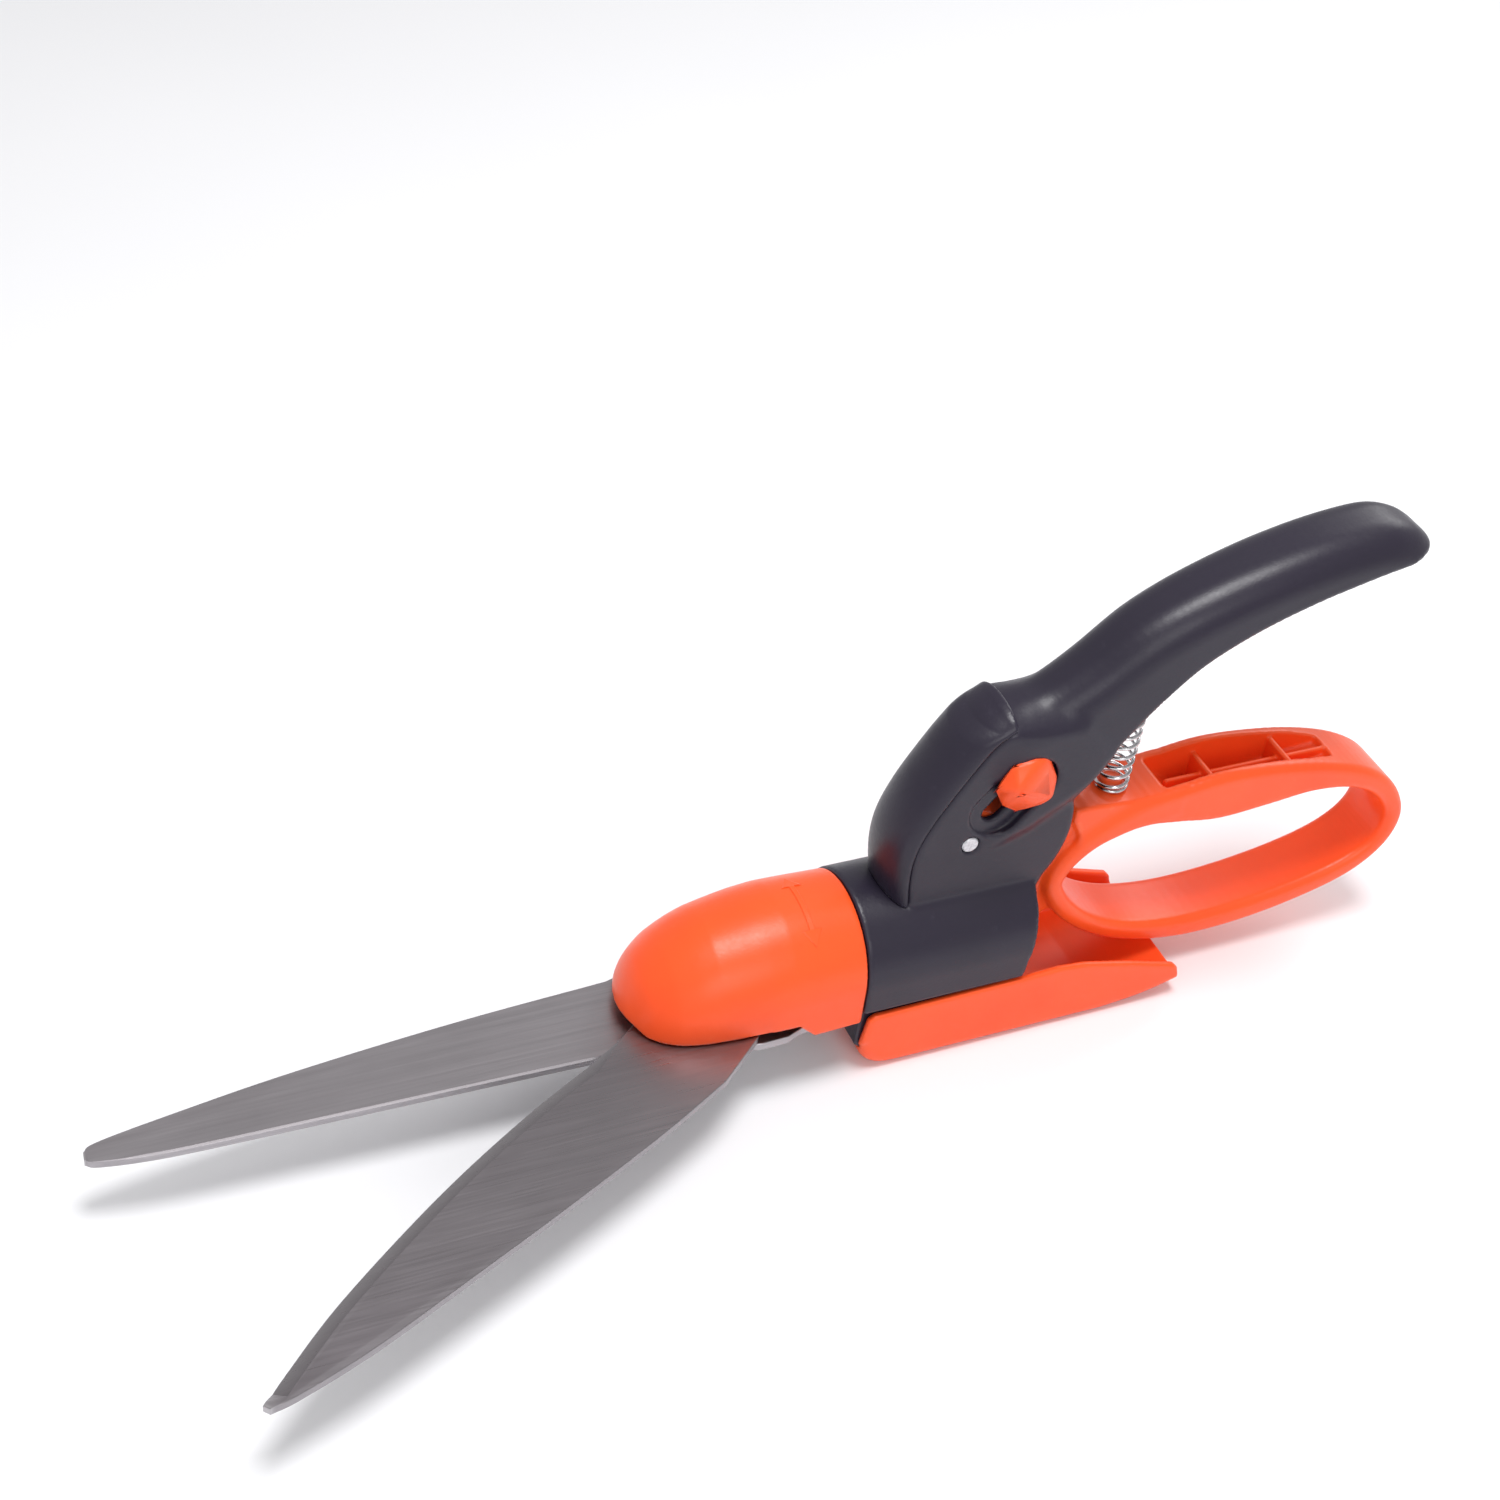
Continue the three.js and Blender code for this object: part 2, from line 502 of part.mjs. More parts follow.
// A round-ended slot along the lock's line, between two distances down from its rest place.
function slotAlongLock(half, y0, y1, from, to) {
  const [ax, az] = lockSpot(from);
  const [bx, bz] = lockSpot(to);
  const [nx, nz] = [-LOCK_DIR[1] * half, LOCK_DIR[0] * half];
  const strip = [[ax - nx, az - nz], [bx - nx, bz - nz], [bx + nx, bz + nz], [ax + nx, az + nz]];
  const middle = pushed("y", strip, y0, y1);
  return join(middle, rod("y", half, y0, y1, ax, az, 16), rod("y", half, y0, y1, bx, bz, 16));
}

// The cheeks' rear edge, from the handle down to the sleeve.
function cheekArc() {
  return Array.from({ length: 7 }, (none, i) => {
    const angle = THREE.MathUtils.degToRad(163 + i * 8.5);
    return [PIN_X + CHEEK_ARC_R * Math.cos(angle), PIN_Z + CHEEK_ARC_R * Math.sin(angle)];
  });
}

function bodyHousing() {
  const innerFloorZ = SKID_FLOOR + GAP + SLEEVE_WALL;
  const sleeve = pushed("x", sleeveSection(0, SKID_FLOOR + GAP), SLEEVE_REAR_X - 3, SEAM_X);
  const hollow = pushed("x", sleeveSection(SLEEVE_WALL, innerFloorZ), -10, BULKHEAD_X);
  const slant = [
    [SLEEVE_REAR_X - 3, 60], [SLEEVE_REAR_X - 3, 46], [SLEEVE_REAR_X + 1, 18], [SLEEVE_REAR_X + 1, 0],
    [SLEEVE_REAR_X - 20, 0], [SLEEVE_REAR_X - 20, 60],
  ];
  const cheekSide = [...smooth(CREASE, 14), [8, 94], [-4, 93], [-12, 83], ...cheekArc(), [-1, 40], [34, 40]];
  const cheeks = pushed("y", cheekSide, -CHEEK_HALF, CHEEK_HALF);
  const pocketSide = [
    [31, 36], [31, 62], [28, 70], [21, 78], [14, 84], [2, 88], [-9, 86], [-30, 80], [-30, 36],
  ];
  const noseCut = [[41, 0], [41, SKID_FLOOR + GAP], [48, 9], [50, 9], [50, 0]];
  const { outer, hollow: handleHollow } = handleBody();
  const shell = cut(
    join(sleeve, cheeks, outer),
    hollow,
    pushed("y", pocketSide, -POCKET_HALF, POCKET_HALF),
    handleHollow,
    pushed("y", slant, -30, 30),
    rod("x", BORE_R, 20, SEAM_X + 1, 0, AXIS_Z, 32),
    rod("y", PIN_R + 0.2, -20, 20, PIN_X, PIN_Z),
    rod("z", 2.3, 7, AXIS_Z, DETENT_X, 0, 16),
    slotAlongLock(LOCK_STEM_R + 0.4, POCKET_HALF - 2, 12, -0.4, LOCK_TRAVEL + 2),
    slotAlongLock(7.2, CHEEK_HALF - 0.9, 12, -1, LOCK_TRAVEL + 1.5),
    pushed("y", noseCut, -30, 30),
  );
  const bosses = SKID_SCREWS.slice(2).map(([x, y]) => rod("z", 3.4, 4, 14, x, y, 14));
  const springBoss = rod("z", 5.4, SPRING_TOP_Z + 1.2, 125, SPRING_X, 0).intersect(outer);
  const springStud = rod("z", STUD_R - 0.2, SPRING_TOP_Z - 2, SPRING_TOP_Z + 18, SPRING_X, 0, 16);
  const screwHoles = SKID_SCREWS.map(([x, y]) => rod("z", 1.5, 0, 12.5, x, y, 12));
  return cut(join(shell, springBoss, springStud, ...bosses), ...screwHoles);
}
node("body_housing", bodyHousing(), "black");

// ---- front cover: a domed shell over the front of the cheeks -------------------------------------------
const COVER_BULGE = [4.8, 5.4, 5.8, 6, 6.2, 6.2, 5.8, 4];
function coverRings(inset) {
  const spine = CREASE.map(([x, z]) => new THREE.Vector3(x, 0, z));
  const curve = new THREE.CatmullRomCurve3(spine, false, "centripetal");
  const count = 14;
  return Array.from({ length: count + 1 }, (none, i) => {
    const t = 0.02 + (0.98 * i) / count;
    const place = curve.getPoint(t);
    const along = curve.getTangent(t);
    const out = new THREE.Vector3(along.z, 0, -along.x);
    const spot = t * (COVER_BULGE.length - 1);
    const low = Math.min(Math.floor(spot), COVER_BULGE.length - 2);
    const bulge = THREE.MathUtils.lerp(COVER_BULGE[low], COVER_BULGE[low + 1], spot - low) - inset;
    const half = CHEEK_HALF - inset;
    const start = inset > 0 ? -1 : GAP;
    return Array.from({ length: 11 }, (nothing, j) => {
      const angle = (Math.PI * j) / 10;
      const v = start + (bulge - start) * Math.sin(angle);
      return place.clone().addScaledVector(out, v).add(new THREE.Vector3(0, half * Math.cos(angle), 0));
    });
  });
}
function frontCover() {
  const shell = cut(loft(coverRings(0)), loft(coverRings(1.9).slice(1, -1)));
  const sleeveRoom = rod("x", SLEEVE_R + GAP, 0, 60, 0, AXIS_Z, 40);
  const neckRings = HANDLE.slice(0, 4).map(([x, z, rimX, rimZ, half]) => (
    handleRing([x + GAP, z + GAP, rimX + GAP, rimZ, half + GAP], 0, 0)));
  return cut(shell, sleeveRoom, loft(neckRings));
}
node("front_cover", frontCover(), "black");

// ---- lock -----------------------------------------------------------------------------------------------
function lockButton() {
  const [x, z] = LOCK_REST;
  const pad = [
    [x + 8.9, z + 0.5], [x + 5.4, z + 7.1], [x - 0.4, z + 9.5], [x - 4, z + 7.8], [x - 7, z + 1.3],
    [x - 7.3, z - 5.7], [x + 2.5, z - 7], [x + 7, z - 3.6],
  ];
  const low = CHEEK_HALF + GAP;
  const thumb = pushed("y", pad, low, low + 6.4);
  const beyond = [[low + 2.2, z + 12], [low + 7.5, z - 1], [low + 2, z - 12], [30, z - 12], [30, z + 12]];
  return cut(thumb, pushed("x", beyond, x - 20, x + 20)).add(rod("y", LOCK_STEM_R, 3.4, low + 1, x, z, 16));
}
node("lock_button", lockButton(), "orange");
node("lock_crossbar", rod("y", 1.9, -POCKET_HALF + GAP, 3.1, ...LOCK_REST, 16), "steel");

// ---- skid and its screws --------------------------------------------------------------------------------
const SKID_CHAMFER = 3.2;
function skid() {
  const floorSide = [
    [44.5, 2], [42.5, 0.4], [41, 0], [-24, 0], [-37, 1.6], [-47.6, 4.6], [-47.6, 7], [-36, 4.2],
    [-24, SKID_FLOOR], [42, SKID_FLOOR], [46.6, 6.4], [47, 5.2],
  ];
  const wallSide = [
    [45, 3], [42.5, 0.4], [41, 0], [-24, 0], [-37, 1.6], [-45.6, 4.2], [-45.6, 9.8], [-44.4, 11],
    [-30, 15.8], [-16, 19.6], [-8, 20.4], [3, 19.9], [43.6, 19.2], [45.2, 18],
  ];
  const inner = SKID_HALF - SKID_WALL;
  const floor = pushed("y", floorSide, -SKID_HALF, SKID_HALF);
  const rightWall = pushed("y", wallSide, -SKID_HALF, -inner);
  const leftWall = pushed("y", wallSide, inner, SKID_HALF);
  const edge = [[SKID_HALF - SKID_CHAMFER, -1], [SKID_HALF + 1, -1], [SKID_HALF + 1, 4.2]];
  const leftChamfer = pushed("x", edge, -60, 60);
  const seats = SKID_SCREWS.map(([x, y]) => rod("z", 3, -1, 1.7, x, y, 16));
  const holes = SKID_SCREWS.map(([x, y]) => rod("z", 1.6, -1, 4, x, y, 12));
  const body = cut(join(floor, leftWall, rightWall), leftChamfer, leftChamfer.mirror([0, 1, 0]));
  return cut(body, ...seats, ...holes);
}
node("skid", skid(), "orange");

SKID_SCREWS.forEach(([x, y], i) => {
  const screw = rod("z", 1.2, 1, 12, x, y, 10).add(rod("z", 2.6, 0.3, 1.4, x, y, 16));
  node("skid_screw_" + (i + 1), screw, "steel");
});

// ---- click stop for the turning head --------------------------------------------------------------------
const BALL_R = 1.9;
const BALL_Z = AXIS_Z - SPIGOT_R - BALL_R - 0.1;
const ball = new THREE.SphereGeometry(BALL_R, 12, 8);
ball.rotateX(Math.PI / 2);
ball.translate(DETENT_X, 0, BALL_Z);
node("detent_ball", solid(ball), "steel");
function detentSpring() {
  const outer = rod("z", 1.9, 7.3, BALL_Z - BALL_R - GAP, DETENT_X, 0, 14);
  return cut(outer, rod("z", 1.1, 0, 20, DETENT_X, 0, 12));
}
node("detent_spring", detentSpring(), "steel");

export default parts;
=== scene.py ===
"""Looks of the one-hand grass shears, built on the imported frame.

Lengths are millimetres until a mesh is made, and then metres. +X runs to the blade tips, +Y to the user's
left, +Z up. Moulded pieces are signed distance fields (negative inside), so that their edges round and
their joins fillet as on a real moulding; a surface net then turns each field into a mesh.
"""

import math

import bmesh
import bpy
import numpy as np
from mathutils import Matrix, Vector


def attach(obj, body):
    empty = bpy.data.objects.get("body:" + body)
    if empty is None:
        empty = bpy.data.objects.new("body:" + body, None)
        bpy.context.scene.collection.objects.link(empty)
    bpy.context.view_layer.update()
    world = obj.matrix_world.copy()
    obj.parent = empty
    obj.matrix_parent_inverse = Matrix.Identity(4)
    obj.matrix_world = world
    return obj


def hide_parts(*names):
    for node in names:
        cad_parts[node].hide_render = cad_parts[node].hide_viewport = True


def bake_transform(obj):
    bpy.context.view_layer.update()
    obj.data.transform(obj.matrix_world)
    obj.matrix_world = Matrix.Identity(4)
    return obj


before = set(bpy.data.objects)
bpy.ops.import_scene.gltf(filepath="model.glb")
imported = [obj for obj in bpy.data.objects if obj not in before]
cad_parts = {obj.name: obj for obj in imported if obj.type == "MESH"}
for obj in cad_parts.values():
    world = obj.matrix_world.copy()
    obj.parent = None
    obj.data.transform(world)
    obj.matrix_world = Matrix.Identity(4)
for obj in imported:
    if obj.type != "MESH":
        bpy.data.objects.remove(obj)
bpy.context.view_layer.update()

MM = 0.001

# ---- driving dimensions and outlines --------------------------------------------------------------------
# Side outlines are rows of x and z. LOOP adds half the band's thickness. HANDLE_WIDTH and DOME_HALVES are
# x and half-width. DOME_CENTRES is x and the height of the dome's widest level. Blade outlines are x and y.
AXIS_Z = 28.6  # height of the head's own axis
SEAM_X = 47.0
SLEEVE_R = 18.8
SLEEVE_FLAT_HALF = 16.9
BORE_R = 13.4
SLEEVE_STEP_Z = 20.8
SKID_HALF = 19.2
SKID_WALL = 2.0
CHEEK_HALF = 9.4
POCKET_HALF = 6.6
LEVER_HALF = 5.8
PIN = (20.3, 62.0)
PIN_R = 2.2
CHEEK_ARC_R = 28.2
LOOP_HALF = 9.0
DOME_WALL = 2.2
RIM_Z = 22.4
COLLAR_Z = 17.8
PIVOT_X = 77.3
BLADE_OPEN = math.radians(31)
FIXED_BLADE_Z = (17.3, 19.5)
MOVING_BLADE_Z = (19.8, 22.0)
SPRING_X = -23.4
SPRING_R = 4.0
SPRING_TURNS = 10.5
WIRE_R = 0.5
SPRING_FOOT_Z = 63.9
SPRING_RISE = 27.3
LOCK_DIR = (-0.64, 0.768)
LOCK_REST = (8.6, 79.4)
LOCK_TRAVEL = 9.0
SLOT_HALF = 2.6
RECESS_HALF = 7.0
RECESS_FLOOR_Y = 8.6

CREASE = [
    (34.2, 44.7), (35.3, 55.5), (34.6, 63.5), (31.7, 71.4), (27.4, 79.3), (22.7, 87), (18.6, 92.6),
    (14.2, 95.6),
]
ARROW_X = 60.0
ARROW_R = 18.95
ARROW_SHIFT = 3.0
COVER_BULGE = [4.8, 5.4, 5.8, 6.0, 6.2, 6.2, 5.8, 4.0]
HANDLE_TOP = [
    (17, 96), (9.5, 98.6), (3, 100.4), (-6.2, 106.6), (-17.5, 115.8), (-29.4, 122.2), (-44.4, 127.9),
    (-60, 132.2), (-73, 134.4), (-82, 134.8), (-88.5, 133), (-92.8, 130.4), (-95, 128.4),
]
HANDLE_RIM = [
    (6, 66), (-8, 76), (-13, 81.5), (-18, 88.4), (-25, 97.4), (-34, 106.4), (-47.2, 114.1),
    (-61, 119.4), (-73, 122.8), (-81, 124.8), (-87, 126), (-91.6, 127.2), (-100, 129),
]
HANDLE_WIDTH = [(-50, 11), (-30, 10.6), (-18, 10.2), (-6, 9.7), (3, 9.4)]
LOOP = [
    (-8.6, 38, 2.6), (-9.6, 44.5, 2.7), (-14.2, 50.4, 2.9), (-21, 54.8, 3.3), (-30, 58, 4.2),
    (-42, 58.4, 6), (-54, 58.2, 7.6), (-68, 58.2, 6.6), (-82, 57.6, 4.7), (-95, 54.6, 3.5),
    (-105, 49.1, 3), (-111.4, 41.5, 2.8), (-113.2, 34.4, 2.8), (-110.4, 27, 2.9), (-102.6, 20.8, 3.2),
    (-89.5, 16.3, 3.4), (-72, 13.1, 3.6), (-54, 12.3, 3.5), (-38, 14.8, 3.1), (-25, 20.2, 2.8),
    (-14.6, 28.6, 2.7),
]
DOME_HALVES = [
    (34, 18.2), (47, 18.5), (60, 18.95), (66, 19.05), (72, 19), (78, 18.7), (84, 18.2), (88, 17.7),
    (91, 17.1), (94, 16.3), (96, 15.4), (98, 14.2), (100, 12.6), (101.5, 10.9), (103, 8.5), (104.2, 6),
    (105.4, 0),
]
DOME_CENTRES = [
    (66, 28.6), (72, 28), (78, 27.2), (84, 26.4), (88, 25.3), (91, 24.4), (94, 23.5), (96, 22.9),
    (98, 22.4), (100, 22), (101.5, 21.6), (103, 21.2), (105.4, 20.7),
]
FIXED_CUT = [(104, 11.3), (140, 10.4), (180, 9.5), (213, 8.6), (228, 6.8), (231.4, 5.2)]
FIXED_BACK = [(231.2, 3), (228, 1), (211, -2), (183, -6), (143, -9.8), (103, -12)]
FIXED_ROOT = [
    (92, -15), (80, -16.6), (58, -16.4), (51, -13.6), (49.2, -8), (49.2, 8), (51, 13.6), (56, 16.4),
    (63, 17), (67, 18.6), (74, 18.8), (82, 17.2), (92, 13.2),
]
MOVING_CUT = [(30.5, -7.5), (60, -9.4), (91, -9), (125, -5.8), (146, -1.7), (154.9, 0.7)]
MOVING_BACK = [(154.5, 2.4), (148, 4.6), (130, 8.4), (104, 11.8), (76, 15.2), (46, 18.2), (24, 19.4)]
MOVING_TAIL = [(8, 17), (-4, 11.5), (-14, 7), (-21.5, 4), (-21.5, -4), (-14, -7), (0, -10), (16, -9)]


# ---- curves and signed distances ------------------------------------------------------------------------
def spline(points, per_span=6, closed=False):
    """Points on a Catmull-Rom curve through the given rows of numbers."""
    rows = np.asarray(points, float)
    if closed:
        padded = np.vstack([rows[-1:], rows, rows[:2]])
    else:
        padded = np.vstack([2 * rows[:1] - rows[1:2], rows, 2 * rows[-1:] - rows[-2:-1]])
    made = []
    for a, b, c, d in zip(padded, padded[1:], padded[2:], padded[3:]):
        for t in np.arange(per_span) / per_span:
            made.append(0.5 * (2 * b + (c - a) * t + (2 * a - 5 * b + 4 * c - d) * t * t
                               + (3 * b - a - 3 * c + d) * t ** 3))
    if not closed:
        made.append(rows[-1])
    return np.array(made)


def area(outline, u, v):
    """Signed distance to a closed outline, negative inside."""
    rows = np.asarray(outline, float)
    near = np.full(np.broadcast(u, v).shape, np.inf)
    inside = np.zeros(near.shape, bool)
    for (au, av), (bu, bv) in zip(rows, np.roll(rows, -1, axis=0)):
        du, dv = bu - au, bv - av
        length2 = du * du + dv * dv
        if length2 < 1e-12:
            continue
        t = np.clip(((u - au) * du + (v - av) * dv) / length2, 0, 1)
        near = np.minimum(near, (u - au - du * t) ** 2 + (v - av - dv * t) ** 2)
        if dv:
            inside ^= ((av > v) != (bv > v)) & (u < du * (v - av) / dv + au)
    return np.where(inside, -1.0, 1.0) * np.sqrt(near)


def both(a, b, r=0.0):
    """Where both fields are inside, with the edge rounded to radius r."""
    if r <= 0:
        return np.maximum(a, b)
    return np.minimum(np.maximum(a, b), -r) + np.hypot(np.maximum(a + r, 0), np.maximum(b + r, 0))


def either(a, b, r=0.0):
    """Where either field is inside, with the corner filleted to radius r."""
    return -both(-a, -b, r)


def without(a, b, r=0.0):
    """The first field less the second."""
    return both(a, -b, r)


def capsule(start, end, r, u, v):
    """Distance to a round-ended strip between two points."""
    (au, av), (bu, bv) = start, end
    du, dv = bu - au, bv - av
    t = np.clip(((u - au) * du + (v - av) * dv) / (du * du + dv * dv), 0, 1)
    return np.hypot(u - au - du * t, v - av - dv * t) - r


# ---- surface net ----------------------------------------------------------------------------------------
def net(field, low, high, step):
    """Vertices and quads on the zero surface of a field."""
    low = np.asarray(low, float)
    counts = np.ceil((np.asarray(high, float) - low) / step).astype(int) + 1
    lines = [low[i] + step * np.arange(counts[i]) for i in range(3)]
    grid = field(lines[0][:, None, None], lines[1][None, :, None], lines[2][None, None, :])
    grid = np.array(np.broadcast_to(grid, counts), dtype=np.float32)
    inside = grid < 0
    cells = tuple(counts - 1)
    total = np.zeros(cells + (3,), np.float32)
    hits = np.zeros(cells, np.float32)
    edges = []
    for axis in range(3):
        ahead = [slice(None)] * 3
        behind = [slice(None)] * 3
        behind[axis] = slice(0, -1)
        ahead[axis] = slice(1, None)
        g0, g1 = grid[tuple(behind)], grid[tuple(ahead)]
        cross = inside[tuple(behind)] != inside[tuple(ahead)]
        part = np.where(cross, g0 / np.where(g0 == g1, 1, g0 - g1), 0)
        b, c = [i for i in range(3) if i != axis]
        for p in (0, 1):
            for q in (0, 1):
                pick = [slice(None)] * 3
                pick[b] = slice(p, p + cells[b])
                pick[c] = slice(q, q + cells[c])
                here = cross[tuple(pick)]
                total[..., axis] += part[tuple(pick)]
                total[..., b] += here * p
                total[..., c] += here * q
                hits += here
        edges.append(cross)
    used = hits > 0
    index = np.full(cells, -1, int)
    index[used] = np.arange(used.sum())
    corner = np.argwhere(used)
    points = low + step * (corner + total[used] / hits[used][:, None])
    quads = []
    for axis in range(3):
        b, c = (axis + 1) % 3, (axis + 2) % 3
        spots = np.argwhere(edges[axis])
        spots = spots[(spots[:, b] > 0) & (spots[:, c] > 0)
                      & (spots[:, b] < cells[b]) & (spots[:, c] < cells[c])]
        unit_b, unit_c = np.eye(3, dtype=int)[b], np.eye(3, dtype=int)[c]
        ring = [spots - unit_b - unit_c, spots - unit_c, spots, spots - unit_b]
        faces = np.stack([index[tuple(r.T)] for r in ring], axis=1)
        outward = inside[tuple(spots.T)]
        faces[~outward] = faces[~outward][:, ::-1]
        quads.append(faces)
    return settle(field, points, step), np.vstack(quads)


def settle(field, points, step):
    """Moves points onto the zero surface along the field's slope."""
    h = 0.02
    for _ in range(3):
        x, y, z = points.T
        here = field(x, y, z)
        ahead = [field(x + h, y, z), field(x, y + h, z), field(x, y, z + h)]
        slope = np.stack([value - here for value in ahead], 1) / h
        size2 = np.maximum((slope ** 2).sum(1), 0.25)
        move = -(here / size2)[:, None] * slope
        reach = np.linalg.norm(move, axis=1)
        move *= np.minimum(1, 0.4 * step / np.maximum(reach, 1e-9))[:, None]
        points = points + move
    return points


# ---- pieces ---------------------------------------------------------------------------------------------
def piece(name, points, faces, body, node, slot, material, smooth=True):
    """A mesh object from points in millimetres; it rides on a body and stands for a CAD node, where given."""
    mesh = bpy.data.meshes.new(name)
    mesh.from_pydata((np.asarray(points) * MM).tolist(), [], [list(map(int, f)) for f in faces])
    mesh.validate()
    mesh.update()
    obj = bpy.data.objects.new(name, mesh)
    bpy.context.collection.objects.link(obj)
    if smooth:
        mesh.shade_smooth()
    mesh.materials.append(material)
    if body:
        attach(obj, body)
    if node:
        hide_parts(node)
    return obj


def moulding(name, field, box, step, body, node, slot, material):
    """A mesh object from a field, sampled inside a box."""
    points, quads = net(field, box[0], box[1], step)
    return piece(name, points, quads, body, node, slot, material)


# ---- node materials -------------------------------------------------------------------------------------
class Shader:
    """A Principled material and short ways to add texture nodes to it."""

    def __init__(self, name, **constants):
        self.material = bpy.data.materials.new(name)
        self.material.use_nodes = True
        self.tree = self.material.node_tree
        self.surface = self.tree.nodes["Principled BSDF"]
        self.place = self.tree.nodes.new("ShaderNodeTexCoord").outputs["Object"]
        for socket, value in constants.items():
            self.surface.inputs[socket.replace("_", " ")].default_value = value

    def node(self, kind, inputs=None, **settings):
        made = self.tree.nodes.new(kind)
        for key, value in settings.items():
            setattr(made, key, value)
        for key, value in (inputs or {}).items():
            if isinstance(value, bpy.types.NodeSocket):
                self.tree.links.new(value, made.inputs[key])
            else:
                made.inputs[key].default_value = value
        return made

    def noise(self, scale, detail=2.0, place=None, rough=0.5):
        inputs = {"Vector": place or self.place, "Scale": scale, "Detail": detail, "Roughness": rough}
        return self.node("ShaderNodeTexNoise", inputs).outputs["Fac"]

    def span(self, value, low, high, start=0.3, end=0.7):
        inputs = {"Value": value, "From Min": start, "From Max": end, "To Min": low, "To Max": high}
        return self.node("ShaderNodeMapRange", inputs).outputs["Result"]

    def mix(self, share, first, second):
        made = self.node("ShaderNodeMix", data_type="RGBA")
        for socket, value in zip((made.inputs[0], made.inputs[6], made.inputs[7]), (share, first, second)):
            if isinstance(value, bpy.types.NodeSocket):
                self.tree.links.new(value, socket)
            else:
                socket.default_value = value
        return made.outputs[2]

    def sum(self, *values):
        total = values[0]
        for value in values[1:]:
            total = self.node("ShaderNodeMath", {0: total, 1: value}, operation="ADD").outputs[0]
        return total

    def scaled(self, value, factor):
        return self.node("ShaderNodeMath", {0: value, 1: factor}, operation="MULTIPLY").outputs[0]

    def edges(self, start, end):
        """One along worn outer edges, nought elsewhere."""
        point = self.node("ShaderNodeNewGeometry").outputs["Pointiness"]
        return self.span(point, 0.0, 1.0, start, end)

    def finish(self, color, roughness, height, strength, distance):
        bump = self.node("ShaderNodeBump", {"Height": height, "Strength": strength, "Distance": distance})
        self.tree.links.new(color, self.surface.inputs["Base Color"])
        self.tree.links.new(roughness, self.surface.inputs["Roughness"])
        self.tree.links.new(bump.outputs["Normal"], self.surface.inputs["Normal"])
        return self.material


def plastic(name, color, deep, worn, roughness, grain, shine_level):
    """Moulded plastic: fine spark-eroded grain, faint flow shades, scuffs and paler edges."""
    shader = Shader(name, IOR=1.49, Specular_IOR_Level=shine_level)
    cloud = shader.noise(45, 3)
    flecks = shader.noise(900, 2)
    tint = shader.mix(shader.span(cloud, 0.0, 0.55, 0.35, 0.75), color, deep)
    scuffs = shader.scaled(shader.span(shader.noise(260, 6, rough=0.7), 0.0, 1.0, 0.62, 0.78), 0.18)
    tint = shader.mix(shader.sum(scuffs, shader.scaled(shader.edges(0.53, 0.62), 0.25)), tint, worn)
    shine = shader.span(cloud, roughness - 0.03, roughness + 0.05)
    shine = shader.sum(shine, shader.span(flecks, -0.03, 0.03))
    height = shader.sum(shader.noise(grain, 3), shader.scaled(shader.noise(140, 2), 0.6))
    return shader.finish(tint, shine, height, 0.16, 0.00014)


def brushed(name, color, deep, worn, roughness, turn=0.0, along=40, across=2600):
    """Ground steel: long fine scratches along the blade, smudges and bright edges."""
    shader = Shader(name, Metallic=1.0)
    mapped = shader.node("ShaderNodeMapping", {"Vector": shader.place, "Rotation": (0, 0, -turn),
                                               "Scale": (along, across, across)}).outputs["Vector"]
    wide_scale = (along * 0.4, across * 0.3, across * 0.3)
    coarse = shader.node("ShaderNodeMapping", {"Vector": shader.place, "Rotation": (0, 0, -turn),
                                               "Scale": wide_scale}).outputs["Vector"]
    lines = shader.noise(1.0, 4, mapped, 0.6)
    bands = shader.noise(1.0, 3, coarse, 0.6)
    smudge = shader.noise(38, 4)
    streaks = shader.sum(shader.scaled(lines, 0.5), shader.scaled(bands, 0.5))
    tint = shader.mix(shader.span(streaks, 0, 1), color, deep)
    tint = shader.mix(shader.scaled(shader.span(smudge, 0, 1, 0.45, 0.75), 0.35), tint, deep)
    tint = shader.mix(shader.scaled(shader.edges(0.52, 0.6), 0.5), tint, worn)
    shine = shader.span(lines, roughness - 0.06, roughness + 0.08)
    shine = shader.sum(shine, shader.span(smudge, -0.03, 0.05))
    return shader.finish(tint, shine, shader.sum(lines, bands), 0.18, 0.00005)


def metal(name, color, deep, roughness, scale=700):
    """Plated or drawn steel: small tool marks and dull spots."""
    shader = Shader(name, Metallic=1.0)
    marks = shader.noise(scale, 4)
    tint = shader.mix(shader.span(marks, 0, 0.7), color, deep)
    shine = shader.span(shader.noise(scale * 0.3, 3), roughness - 0.06, roughness + 0.1)
    return shader.finish(tint, shine, marks, 0.15, 0.00006)


ORANGE = plastic("orange_plastic", (1.0, 0.1, 0.017, 1), (0.92, 0.076, 0.012, 1), (1.0, 0.18, 0.06, 1),
                 0.34, 2600, 0.4)
DARK = plastic("dark_plastic", (0.019, 0.0145, 0.029, 1), (0.013, 0.0105, 0.021, 1), (0.07, 0.062, 0.09, 1),
               0.36, 1500, 0.42)
WORN_STEEL = (0.7, 0.68, 0.7, 1)
FIXED_STEEL = brushed("fixed_blade_steel", (0.36, 0.33, 0.35, 1), (0.24, 0.22, 0.235, 1), WORN_STEEL, 0.36)
MOVING_STEEL = brushed("moving_blade_steel", (0.24, 0.215, 0.23, 1), (0.18, 0.16, 0.175, 1), WORN_STEEL,
                       0.3, turn=BLADE_OPEN, across=1500)
BRIGHT = metal("spring_steel", (0.74, 0.73, 0.75, 1), (0.5, 0.49, 0.5, 1), 0.16)
PLATED = metal("plated_steel", (0.55, 0.55, 0.57, 1), (0.38, 0.38, 0.4, 1), 0.3)
